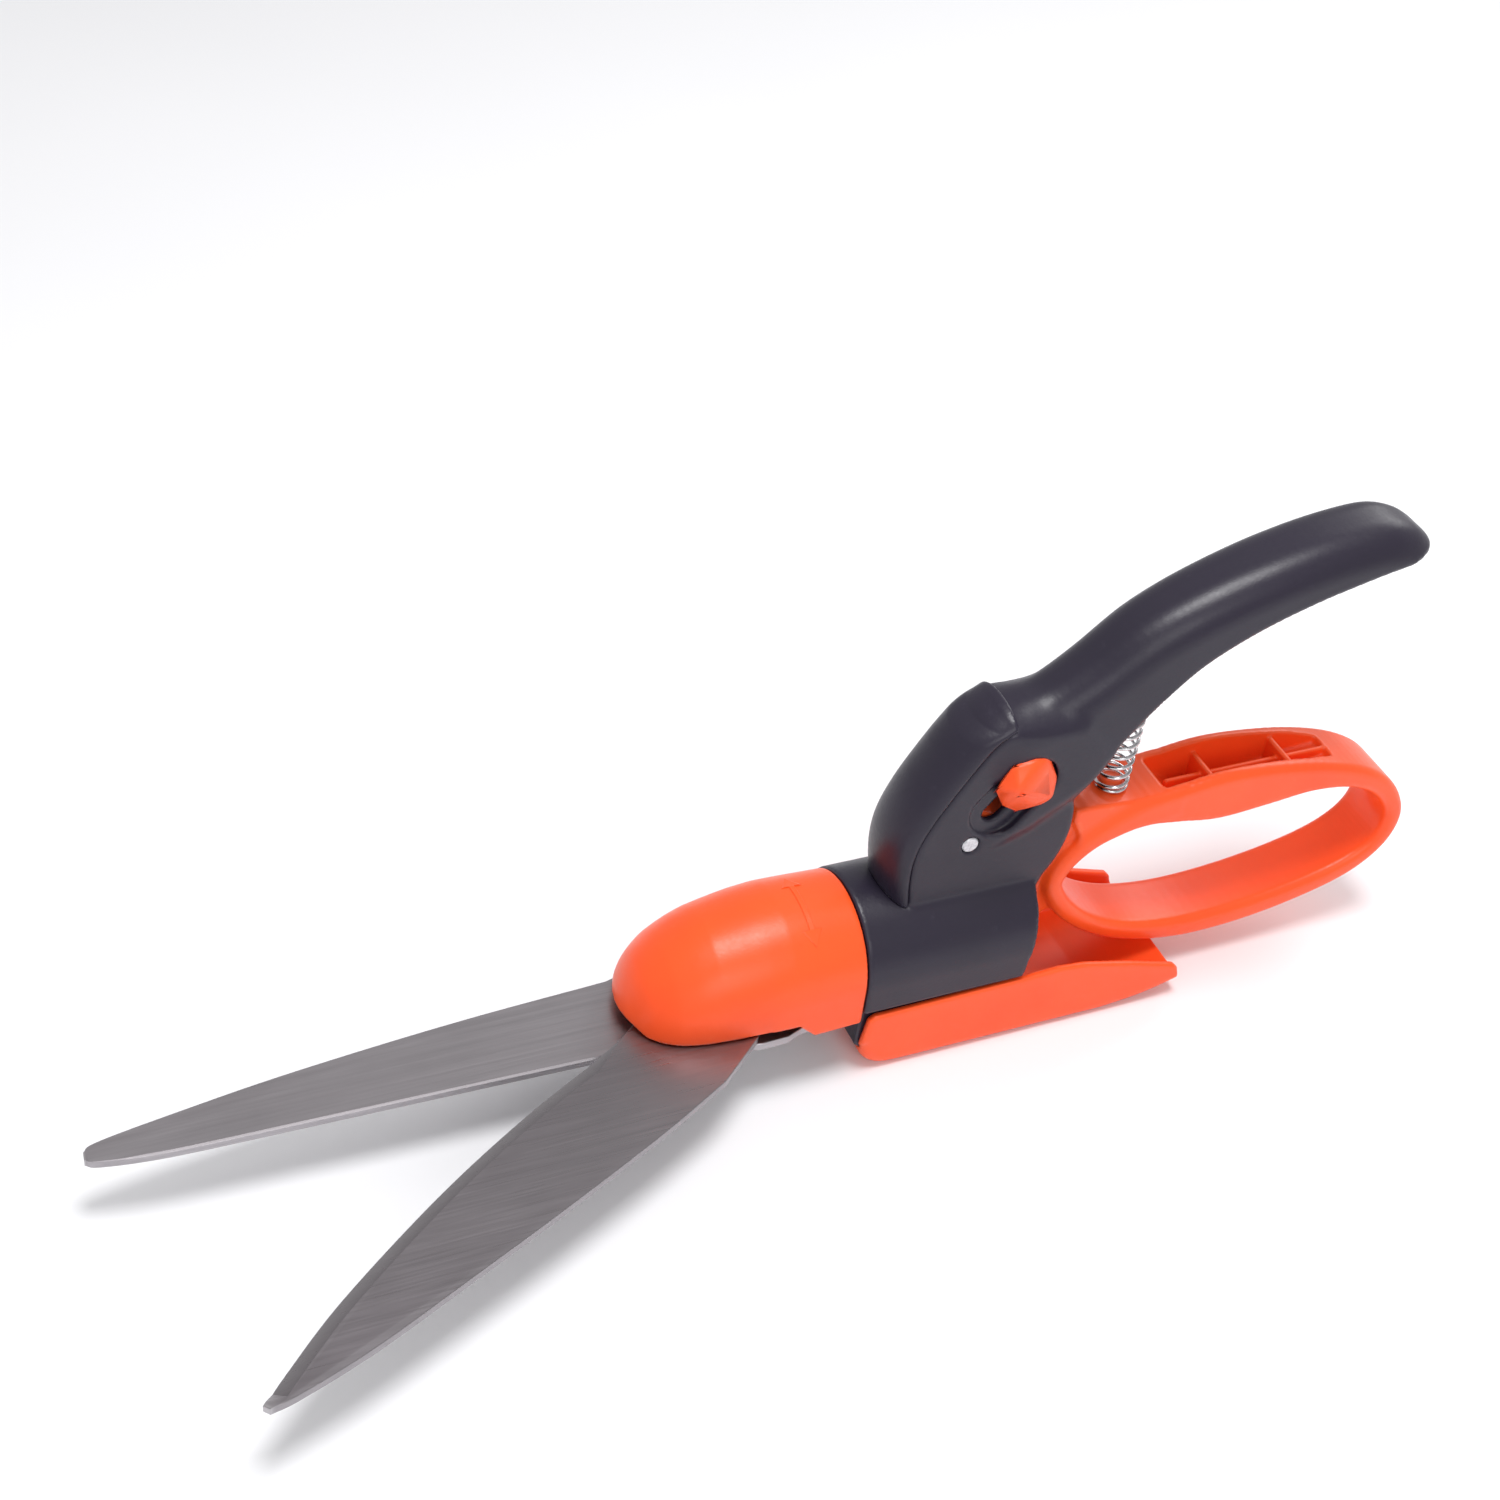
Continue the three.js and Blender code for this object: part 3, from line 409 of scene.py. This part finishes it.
PIN_STEEL = metal("pin_steel", (0.8, 0.8, 0.83, 1), (0.45, 0.45, 0.48, 1), 0.5, 1500)


# ---- nose dome ------------------------------------------------------------------------------------------
def dome_outline():
    """Half-width against x, closed through the axis: the squares of the half-widths follow a smooth curve."""
    rows = spline([(x, half * half) for x, half in DOME_HALVES], 8)
    half = np.sqrt(np.maximum(rows[:, 1], 0))
    return np.vstack([np.column_stack([rows[:, 0], half]), np.column_stack([rows[:, 0], -half])[::-1]])


DOME_OUTLINE = dome_outline()
DOME_TUCK_XS = [62, 72]
DOME_TUCK_POWERS = [8.0, 2.5]
DOME_UNDERCUT = [
    (20, -10), (20, COLLAR_Z), (60, COLLAR_Z), (64.5, RIM_Z), (101, RIM_Z), (103.4, 23.6), (120, 26.4),
    (125, -10),
]
CENTRE_XS, CENTRE_ZS = zip(*DOME_CENTRES)


def dome_field(x, y, z):
    """Round above the widest level; below it the sides drop straight at the rear and tuck in ahead."""
    rise = z - np.interp(x, CENTRE_XS, CENTRE_ZS)
    power = np.interp(x, DOME_TUCK_XS, DOME_TUCK_POWERS)
    tucked = (np.abs(y) ** power + np.maximum(-rise, 0) ** power) ** (1 / power)
    out = area(DOME_OUTLINE, x, np.where(rise > 0, np.hypot(y, rise), tucked))
    shell = without(out, out + DOME_WALL, 0.4)
    shell = both(shell, SEAM_X + 0.3 - x, 0.5)
    return without(shell, area(DOME_UNDERCUT, x, z), 0.5)


def turn_arrow():
    """A low two-headed arrow that follows the top of the dome round, as a mark for turning the head."""
    half_length, head_length, shaft_half, head_half = 11.0, 4.2, 0.7, 2.6
    along = np.array([-half_length, -half_length + head_length, -half_length + head_length + 0.01])
    along = np.concatenate([along, np.linspace(-5, 5, 9), -along[::-1]])
    from_end = half_length - np.abs(along)
    wide = np.where(from_end <= head_length, np.maximum(from_end / head_length * head_half, 0.02), shaft_half)
    points = []
    for place, half in zip(along + ARROW_SHIFT, wide):
        angle = place / ARROW_R
        near_side = [(-half, -0.4), (-half, 0.16), (-half * 0.8, 0.26)]
        far_side = [(half * 0.8, 0.26), (half, 0.16), (half, -0.4)]
        for x, lift in near_side + far_side:
            reach = ARROW_R + lift
            points.append((ARROW_X + x, reach * math.sin(angle), AXIS_Z + reach * math.cos(angle)))
    faces = [list(range(6)), list(range(len(points) - 6, len(points)))[::-1]]
    for i in range(len(along) - 1):
        for j in range(6):
            k = (j + 1) % 6
            faces.append([6 * i + k, 6 * i + j, 6 * i + 6 + j, 6 * i + 6 + k])
    return points, faces


# ---- housing --------------------------------------------------------------------------------------------
CREASE_LINE = spline(CREASE, 6)
RIDGE_LINE = spline(HANDLE_TOP, 5)
RIM_LINE = spline(HANDLE_RIM, 5)
UNDER_TOP = np.vstack([RIDGE_LINE, [(-95.6, 120), (-95.6, 30), (17, 30)]])
NOSE_CUT = [(41, 0), (41, 2.9), (48, 9), (50, 9), (50, 0)]
OVER_RIM = np.vstack([[(40, 52)], RIM_LINE, [(-130, 135), (-130, 220), (40, 220)]])
CHEEK_ARC = [(PIN[0] + CHEEK_ARC_R * math.cos(a), PIN[1] + CHEEK_ARC_R * math.sin(a))
             for a in np.radians(np.linspace(163, 214, 12))]
CHEEK_SIDE = np.vstack([CREASE_LINE, [(8, 94), (-4, 93), (-12, 83)], CHEEK_ARC, [(-1, 40), (34, 40)]])
POCKET_SIDE = [(31, 36), (31, 62), (28, 70), (21, 78), (14, 84), (2, 88), (-9, 86), (-30, 80), (-30, 36)]


def lock_spot(distance):
    """A place on the lock's path, by its distance from rest."""
    return tuple(LOCK_REST[i] - LOCK_DIR[i] * distance for i in (0, 1))


def handle_width(x):
    """Half the handle's width."""
    xs, halves = zip(*HANDLE_WIDTH)
    return np.interp(x, xs, halves)


def sleeve_field(x, y, z, inset, floor):
    """The round-topped sleeve around the head's axis, or its inner wall when inset."""
    round_part = np.hypot(y, np.maximum(z - AXIS_Z, 0)) - (SLEEVE_R - inset)
    upper = both(round_part, SLEEVE_STEP_Z - z, 0.3)
    lower = both(np.abs(y) - (SLEEVE_FLAT_HALF - inset), both(floor - z, z - AXIS_Z))
    return either(upper, lower)


def body_field(x, y, z):
    """Sleeve, cheeks and handle in one shell; the lever's pocket, the bore and the lock's slot are cut out."""
    side = np.abs(y)
    slant = -1.0 + (46.0 - z) * (4.0 / 28.0)
    sleeve = both(sleeve_field(x, y, z, 0, 2.9), both(x - SEAM_X, slant - x), 0.5)
    cheeks = both(area(CHEEK_SIDE, x, z), side - CHEEK_HALF, 0.9)
    top = area(UNDER_TOP, x, z)
    half = handle_width(x)
    handle = both(both(top, side - half, 8.6), area(OVER_RIM, x, z), 0.9)
    hollow = both(both(top + 2.6, side - half + 2.4, 6.2), x + 15, 2)
    pocket = both(area(POCKET_SIDE, x, z), side - POCKET_HALF, 0.8)
    bore = both(np.hypot(y, z - AXIS_Z) - BORE_R, both(20 - x, x - 50))
    inner = both(sleeve_field(x, y, z, 2.4, 5.3), x - 31)
    shell = either(either(cheeks, handle, 5.0), sleeve, 1.2)
    shell = without(without(shell, hollow, 0.5), either(pocket, inner), 0.4)
    shell = without(without(shell, bore), area(NOSE_CUT, x, z))
    slot = both(capsule(lock_spot(-0.4), lock_spot(LOCK_TRAVEL + 2.2), SLOT_HALF, x, z), 4 - y)
    recess = capsule(lock_spot(-1), lock_spot(LOCK_TRAVEL + 1.2), RECESS_HALF, x, z)
    recess = both(recess, RECESS_FLOOR_Y - y, 0.3)
    pin_hole = np.hypot(x - PIN[0], z - PIN[1]) - (PIN_R + 0.15)
    return without(without(without(shell, slot, 0.3), recess, 0.2), pin_hole, 0.2)


# ---- front cover ----------------------------------------------------------------------------------------
BEHIND_CREASE = np.vstack([[(33.4, 30)], CREASE_LINE, [(6, 98.4), (-60, 98.4), (-60, 30)]])
CREASE_HEIGHTS = CREASE_LINE[:, 1]
BULGES = np.interp(np.linspace(0, 1, len(CREASE_LINE)), np.linspace(0, 1, len(COVER_BULGE)), COVER_BULGE)


def cover_field(x, y, z):
    """A bulging strip ahead of the cheeks' front crease."""
    ahead = area(BEHIND_CREASE, x, z)
    bulge = np.interp(z, CREASE_HEIGHTS, BULGES)
    half = CHEEK_HALF + 0.15
    k0 = np.sqrt((ahead / bulge) ** 2 + (y / half) ** 2) + 1e-6
    k1 = np.sqrt((ahead / bulge ** 2) ** 2 + (y / half ** 2) ** 2) + 1e-6
    out = k0 * (k0 - 1) / k1
    shell = both(out, 0.12 - ahead, 0.6)
    shell = both(shell, 13.8 - x, 0.8)
    return without(shell, np.hypot(y, z - AXIS_Z) - (SLEEVE_R + 0.15), 0.2)


# ---- lever ----------------------------------------------------------------------------------------------
LOOP_LINE = spline(LOOP, 5, closed=True)
ARM_SIDE = [
    (28, 62), (27.4, 66), (24, 69.4), (19, 70), (13.5, 67.4), (4, 66), (-10, 63), (-14, 58), (-9, 48),
    (-9, 38), (-12, 31), (-7, 27.5), (4, 25), (15.5, 24.4), (24.8, 24.4), (25.4, 30), (25.4, 44),
    (27.2, 56),
]
SEAT_SIDE = [(-9.8, 60), (-9.8, 63.6), (-13, 64), (-34, 62.4), (-40, 62.6), (-40, 57), (-24, 54), (-14, 52)]
LEVER_POCKET = [(-36, 74), (-36, 60.5), (-46, 54.6), (-60, 53.8), (-78, 56.4), (-88, 58.6), (-93, 74)]


def loop_distance(x, z):
    """Signed distance to the finger loop's band, seen from the side."""
    rows = LOOP_LINE
    best = np.full(np.broadcast(x, z).shape, np.inf)
    for (ax, az, ah), (bx, bz, bh) in zip(rows, np.roll(rows, -1, axis=0)):
        dx, dz = bx - ax, bz - az
        t = np.clip(((x - ax) * dx + (z - az) * dz) / (dx * dx + dz * dz), 0, 1)
        best = np.minimum(best, np.hypot(x - ax - dx * t, z - az - dz * t) - (ah + (bh - ah) * t))
    return best


def lever_field(x, y, z):
    """Finger loop, arm and spring seat, with a ribbed pocket in the top of the band."""
    side = np.abs(y)
    band = both(loop_distance(x, z), side - LOOP_HALF, 2.4)
    arm = both(area(ARM_SIDE, x, z), side - LEVER_HALF, 0.5)
    seat = both(area(SEAT_SIDE, x, z), side - 7.6, 0.8)
    narrow = np.interp(x, [-93, -80, -60], [3.4, 5.2, 5.8])
    pocket = both(area(LEVER_POCKET, x, z), side - narrow, 1.2)
    ribs = np.minimum(np.abs(x + 51.5), np.abs(x + 74.5)) - 0.7
    ribs = both(ribs, both(z - 62.6, side - 6.4))
    spine = both(side - 0.7, both(z - 60.4, both(-90 - x, x + 40)))
    web = both(either(ribs, spine, 0.3), 52.5 - z)
    solid = either(either(band, seat, 2.5), arm, 1.6)
    solid = either(without(solid, pocket, 0.4), both(web, area(LEVER_POCKET, x, z) - 1), 0.3)
    stud = both(np.hypot(x - SPRING_X, y) - 2.9, both(z - 65.6, 58 - z), 0.5)
    fork = both(side - 2.3, both(np.abs(x - 17.3) - 15, z - 37.6))
    pins = np.minimum(np.hypot(x - PIN[0], z - PIN[1]) - 2.4, np.hypot(x - PIN[0], z - AXIS_Z) - 2.0)
    return without(without(either(solid, stud, 0.4), fork), pins)


# ---- skid -----------------------------------------------------------------------------------------------
SKID_UNDER = np.vstack([spline([(46.4, 8.6), (45.2, 4.8), (43, 2.1), (39.4, 0.4), (34, 0)], 4),
                        spline([(-20, 0), (-26, 0.15), (-37, 1.6), (-47.6, 4.6)], 4),
                        [(-60, 8.2), (-60, 60), (60, 60), (60, 9)]])
SKID_TOP = [
    (46.9, -5), (46.9, 7), (45.2, 18), (43.6, 19.2), (3, 19.9), (-8, 20.4), (-16, 19.6), (-30, 15.8),
    (-44.4, 11), (-45.6, 9.8), (-47.4, 4), (-47.4, -5),
]
SKID_ABOVE_FLOOR = [
    (60, 14), (47.4, 8.3), (41.2, 2.7), (-24, 2.6), (-36, 4.2), (-60, 10), (-60, 80), (60, 80),
]


def skid_field(x, y, z):
    """A flat-bottomed tray with upturned ends and sunk screw holes."""
    side = np.abs(y)
    block = both(area(SKID_UNDER, x, z), side - SKID_HALF, 3.0)
    block = both(block, area(SKID_TOP, x, z), 0.6)
    channel = both(side - (SKID_HALF - SKID_WALL), area(SKID_ABOVE_FLOOR, x, z), 1.2)
    screws = np.minimum(np.hypot(x - 39.5, side - 10), np.hypot(x - 9, side - 11.5)) - 3
    return without(without(block, channel, 0.5), both(screws, z - 1.7), 0.2)


moulding("dome_skin", dome_field, ((46, -20.5, 17), (109.5, 20.5, 49.5)), 0.6, "head", "nose_dome",
         "orange_plastic", ORANGE)
piece("turn_arrow", *turn_arrow(), "head", None, "orange_plastic", ORANGE, smooth=False)
moulding("housing_skin", body_field, ((-98, -19.6, 2), (48, 19.6, 139)), 0.75, "root", "body_housing",
         "dark_plastic", DARK)
moulding("cover_skin", cover_field, ((12, -10.4, 44), (43, 10.4, 102)), 0.5, "root", "front_cover",
         "dark_plastic", DARK)
moulding("lever_skin", lever_field, ((-118.5, -9.8, 7.5), (29, 9.8, 71.5)), 0.6, "lever", "trigger_lever",
         "orange_plastic", ORANGE)
moulding("skid_skin", skid_field, ((-48.5, -20, -0.6), (48, 20, 21.2)), 0.6, "root", "skid",
         "orange_plastic", ORANGE)


# ---- blades ---------------------------------------------------------------------------------------------
def blade(name, outline, cut_count, bevel, bevel_drop, low, high, node, body, material, turn=0.0):
    """A flat blade with small broken edges and a ground bevel along its first cut_count points."""
    flat = np.asarray(outline, float)
    ahead, behind = np.roll(flat, -1, axis=0), np.roll(flat, 1, axis=0)
    along = ahead - behind
    along /= np.linalg.norm(along, axis=1)[:, None]
    inward = np.column_stack([-along[:, 1], along[:, 0]])
    turned = 0.5 * np.sum(flat[:, 0] * ahead[:, 1] - ahead[:, 0] * flat[:, 1])
    if turned < 0:
        inward = -inward
    top_break, bottom_break = 0.16, 0.12
    wide = np.full(len(flat), top_break)
    drop = np.full(len(flat), top_break)
    share = np.clip(np.minimum(np.arange(cut_count), np.arange(cut_count)[::-1]) / 3, 0, 1)
    wide[:cut_count] += share * (bevel - top_break)
    drop[:cut_count] += share * (bevel_drop - top_break)
    rings = [(flat + inward * bottom_break, low), (flat, low + bottom_break), (flat, high - drop),
             (flat + inward * wide[:, None], high)]
    points = []
    for ring, height in rings:
        heights = np.broadcast_to(height, len(ring))
        points.append(np.column_stack([ring, heights]))
    points = np.vstack(points)
    cos, sin = math.cos(turn), math.sin(turn)
    if turn:
        x, y = points[:, 0].copy(), points[:, 1].copy()
        points[:, 0] = PIVOT_X + x * cos - y * sin
        points[:, 1] = x * sin + y * cos
    count = len(flat)
    faces = [list(range(count))[::-1], list(range(3 * count, 4 * count))]
    for level in range(3):
        for i in range(count):
            j = (i + 1) % count
            a, b = level * count, (level + 1) * count
            faces.append([a + i, a + j, b + j, b + i])
    obj = piece(name, points, faces, body, node, "blade_steel", material, smooth=False)
    mesh = bmesh.new()
    mesh.from_mesh(obj.data)
    bmesh.ops.recalc_face_normals(mesh, faces=mesh.faces)
    mesh.to_mesh(obj.data)
    mesh.free()
    return obj


fixed_outline = np.vstack([spline(FIXED_CUT, 8), spline(FIXED_BACK, 8), FIXED_ROOT])
blade("fixed_blade_plate", fixed_outline, 30, 0.5, 0.4, *FIXED_BLADE_Z, "fixed_blade", "head", FIXED_STEEL)
moving_outline = np.vstack([spline(MOVING_CUT, 8), spline(MOVING_BACK, 8), MOVING_TAIL])
blade("moving_blade_plate", moving_outline, 40, 3.5, 1.5, *MOVING_BLADE_Z, "moving_blade", "blade",
      MOVING_STEEL, turn=BLADE_OPEN)


# ---- spring, pin and button -----------------------------------------------------------------------------
def tube(path, radius, sides):
    """A round wire along a path of points, closed at both ends."""
    path = np.asarray(path)
    along = np.gradient(path, axis=0)
    along /= np.linalg.norm(along, axis=1)[:, None]
    aside = np.cross(along, (0, 0, 1.0))
    aside /= np.linalg.norm(aside, axis=1)[:, None]
    up = np.cross(aside, along)
    angles = np.linspace(0, 2 * np.pi, sides, endpoint=False)
    rings = [path + radius * (np.cos(a) * aside + np.sin(a) * up) for a in angles]
    points = np.stack(rings, axis=1).reshape(-1, 3)
    faces = [list(range(sides))[::-1], list(range(len(points) - sides, len(points)))]
    for i in range(len(path) - 1):
        for j in range(sides):
            k = (j + 1) % sides
            faces.append([i * sides + j, i * sides + k, (i + 1) * sides + k, (i + 1) * sides + j])
    return points, faces


def spring_wire():
    """A coil whose first and last turns lie nearly flat."""
    flat_turns = 0.9
    t = np.linspace(0, 1, 420)
    rise = np.clip((t * SPRING_TURNS - flat_turns) / (SPRING_TURNS - 2 * flat_turns), 0, 1)
    height = SPRING_FOOT_Z + 0.6 * np.clip(t * SPRING_TURNS, 0, 1) + SPRING_RISE * rise
    angle = 2 * np.pi * SPRING_TURNS * t
    path = np.column_stack([SPRING_X + SPRING_R * np.cos(angle), SPRING_R * np.sin(angle), height])
    return tube(path, WIRE_R, 12)


spring = piece("spring_coil", *spring_wire(), None, "return_spring", "spring_steel", BRIGHT)
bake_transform(spring)


def lathe_y(profile, centre, sides=48):
    """A turned solid about an axis along Y: profile rows are (radius, y)."""
    points, faces = [], []
    angles = np.linspace(0, 2 * np.pi, sides, endpoint=False)
    for radius, y in profile:
        for a in angles:
            points.append((centre[0] + radius * math.cos(a), y, centre[1] + radius * math.sin(a)))
    for level in range(len(profile) - 1):
        for j in range(sides):
            k = (j + 1) % sides
            a, b = level * sides, (level + 1) * sides
            faces.append([a + j, b + j, b + k, a + k])
    faces.append(list(range(sides)))
    faces.append(list(range(len(points) - sides, len(points)))[::-1])
    return points, faces


pin_profile = [(1.9, -9.35), (PIN_R, -9.05), (PIN_R, 9.05), (1.9, 9.35)]
piece("pivot_pin_turned", *lathe_y(pin_profile, PIN), "root", "pivot_pin", "plated_steel", PIN_STEEL,
      smooth=False)


def lock_button():
    """A faceted thumb piece: three facets that meet at a peak, with rounded edges."""
    low = CHEEK_HALF + 0.3
    foot = [(8.2, 88.9), (4.2, 87), (0.9, 80.2), (0.9, 74.3), (3.4, 72.3), (10.4, 71.4), (14.9, 74.4),
            (17.6, 79.9), (14.2, 86.6)]
    middle = np.mean(foot, axis=0)
    points = [(x, low, z) for x, z in foot]
    for x, z in foot:
        points.append((middle[0] + (x - middle[0]) * 0.96, low + 1.4, middle[1] + (z - middle[1]) * 0.96))
    points += [(13.6, low + 5.1, 82.4), (12.6, low + 5.0, 80.2), (2.8, low + 2.9, 75.6)]
    mesh = bmesh.new()
    for p in points:
        mesh.verts.new(p)
    hull = bmesh.ops.convex_hull(mesh, input=mesh.verts)
    inner = {v for v in hull["geom_interior"] if isinstance(v, bmesh.types.BMVert)}
    bmesh.ops.delete(mesh, geom=list(inner), context="VERTS")
    bmesh.ops.bevel(mesh, geom=mesh.edges[:], offset=0.8, segments=4, profile=0.5, affect="EDGES")
    mesh.verts.index_update()
    made = [tuple(v.co) for v in mesh.verts]
    faces = [[v.index for v in f.verts] for f in mesh.faces]
    mesh.free()
    return made, faces


piece("lock_button_cap", *lock_button(), "lock", "lock_button", "orange_plastic", ORANGE)

# ---- carried-over CAD nodes -----------------------------------------------------------------------------
NODE_FINISH = {
    "head_carrier": DARK, "retaining_ring": BRIGHT, "pivot_bolt": PLATED, "pivot_bush": PLATED,
    "pivot_washer": PLATED, "pivot_locknut": PLATED, "blade_screw_1": PLATED, "blade_screw_2": PLATED,
    "drive_slider": PLATED, "drive_pin": BRIGHT, "pull_rod": PLATED, "rod_pin": BRIGHT,
    "lock_crossbar": PLATED,
    "skid_screw_1": PLATED, "skid_screw_2": PLATED, "skid_screw_3": PLATED, "skid_screw_4": PLATED,
    "detent_ball": BRIGHT, "detent_spring": BRIGHT,
}
for node_name, finish in NODE_FINISH.items():
    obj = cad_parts[node_name]
    obj.data.materials.clear()
    obj.data.materials.append(finish)


# ---- floor, light and camera ----------------------------------------------------------------------------
def make_floor():
    half = 4.0
    mesh = bpy.data.meshes.new("floor")
    corners = [(-half, -half, 0), (half, -half, 0), (half, half, 0), (-half, half, 0)]
    mesh.from_pydata(corners, [], [(0, 1, 2, 3)])
    floor = bpy.data.objects.new("floor", mesh)
    bpy.context.collection.objects.link(floor)
    shader = Shader("pale_floor")
    tint = shader.mix(shader.noise(3, 2), (0.9, 0.9, 0.92, 1), (0.88, 0.88, 0.9, 1))
    shine = shader.span(shader.noise(8, 2), 0.7, 0.8)
    mesh.materials.append(shader.finish(tint, shine, shader.noise(300), 0.02, 0.0001))


def area_light(name, spot, target, size, power, color=(1, 1, 1)):
    data = bpy.data.lights.new(name, "AREA")
    data.shape = "DISK"
    data.size = size
    data.energy = power
    data.color = color
    lamp = bpy.data.objects.new(name, data)
    lamp.location = spot
    lamp.rotation_mode = "QUATERNION"
    lamp.rotation_quaternion = (Vector(target) - Vector(spot)).to_track_quat("-Z", "Y")
    bpy.context.collection.objects.link(lamp)


def make_camera():
    data = bpy.data.cameras.new("camera")
    data.sensor_width = 36
    data.lens = 54.73
    data.clip_start = 0.01
    camera = bpy.data.objects.new("camera", data)
    right = Vector((-0.9179, 0.3839, 0.10042))
    up = Vector((-0.17777, -0.62406, 0.76088))
    back = Vector((0.35478, 0.68056, 0.64107))
    turn = Matrix((right, up, back)).transposed()
    camera.matrix_world = Matrix.Translation((0.25884, 0.34687, 0.4247)) @ turn.to_4x4()
    bpy.context.collection.objects.link(camera)
    bpy.context.scene.camera = camera


make_floor()
make_camera()
CENTRE = (0.05, 0, 0.05)
area_light("key", (0.05, 0.1, 1.05), CENTRE, 0.4, 7)
area_light("fill", (0.2, 0.95, 0.7), CENTRE, 0.6, 2.6)
area_light("back", (-0.75, -0.45, 0.6), CENTRE, 0.5, 2.4)
world = bpy.data.worlds.new("studio")
world.use_nodes = True
world.node_tree.nodes["Background"].inputs["Color"].default_value = (1, 1, 1, 1)
world.node_tree.nodes["Background"].inputs["Strength"].default_value = 0.55
bpy.context.scene.world = world
bpy.context.scene.view_settings.view_transform = "Standard"
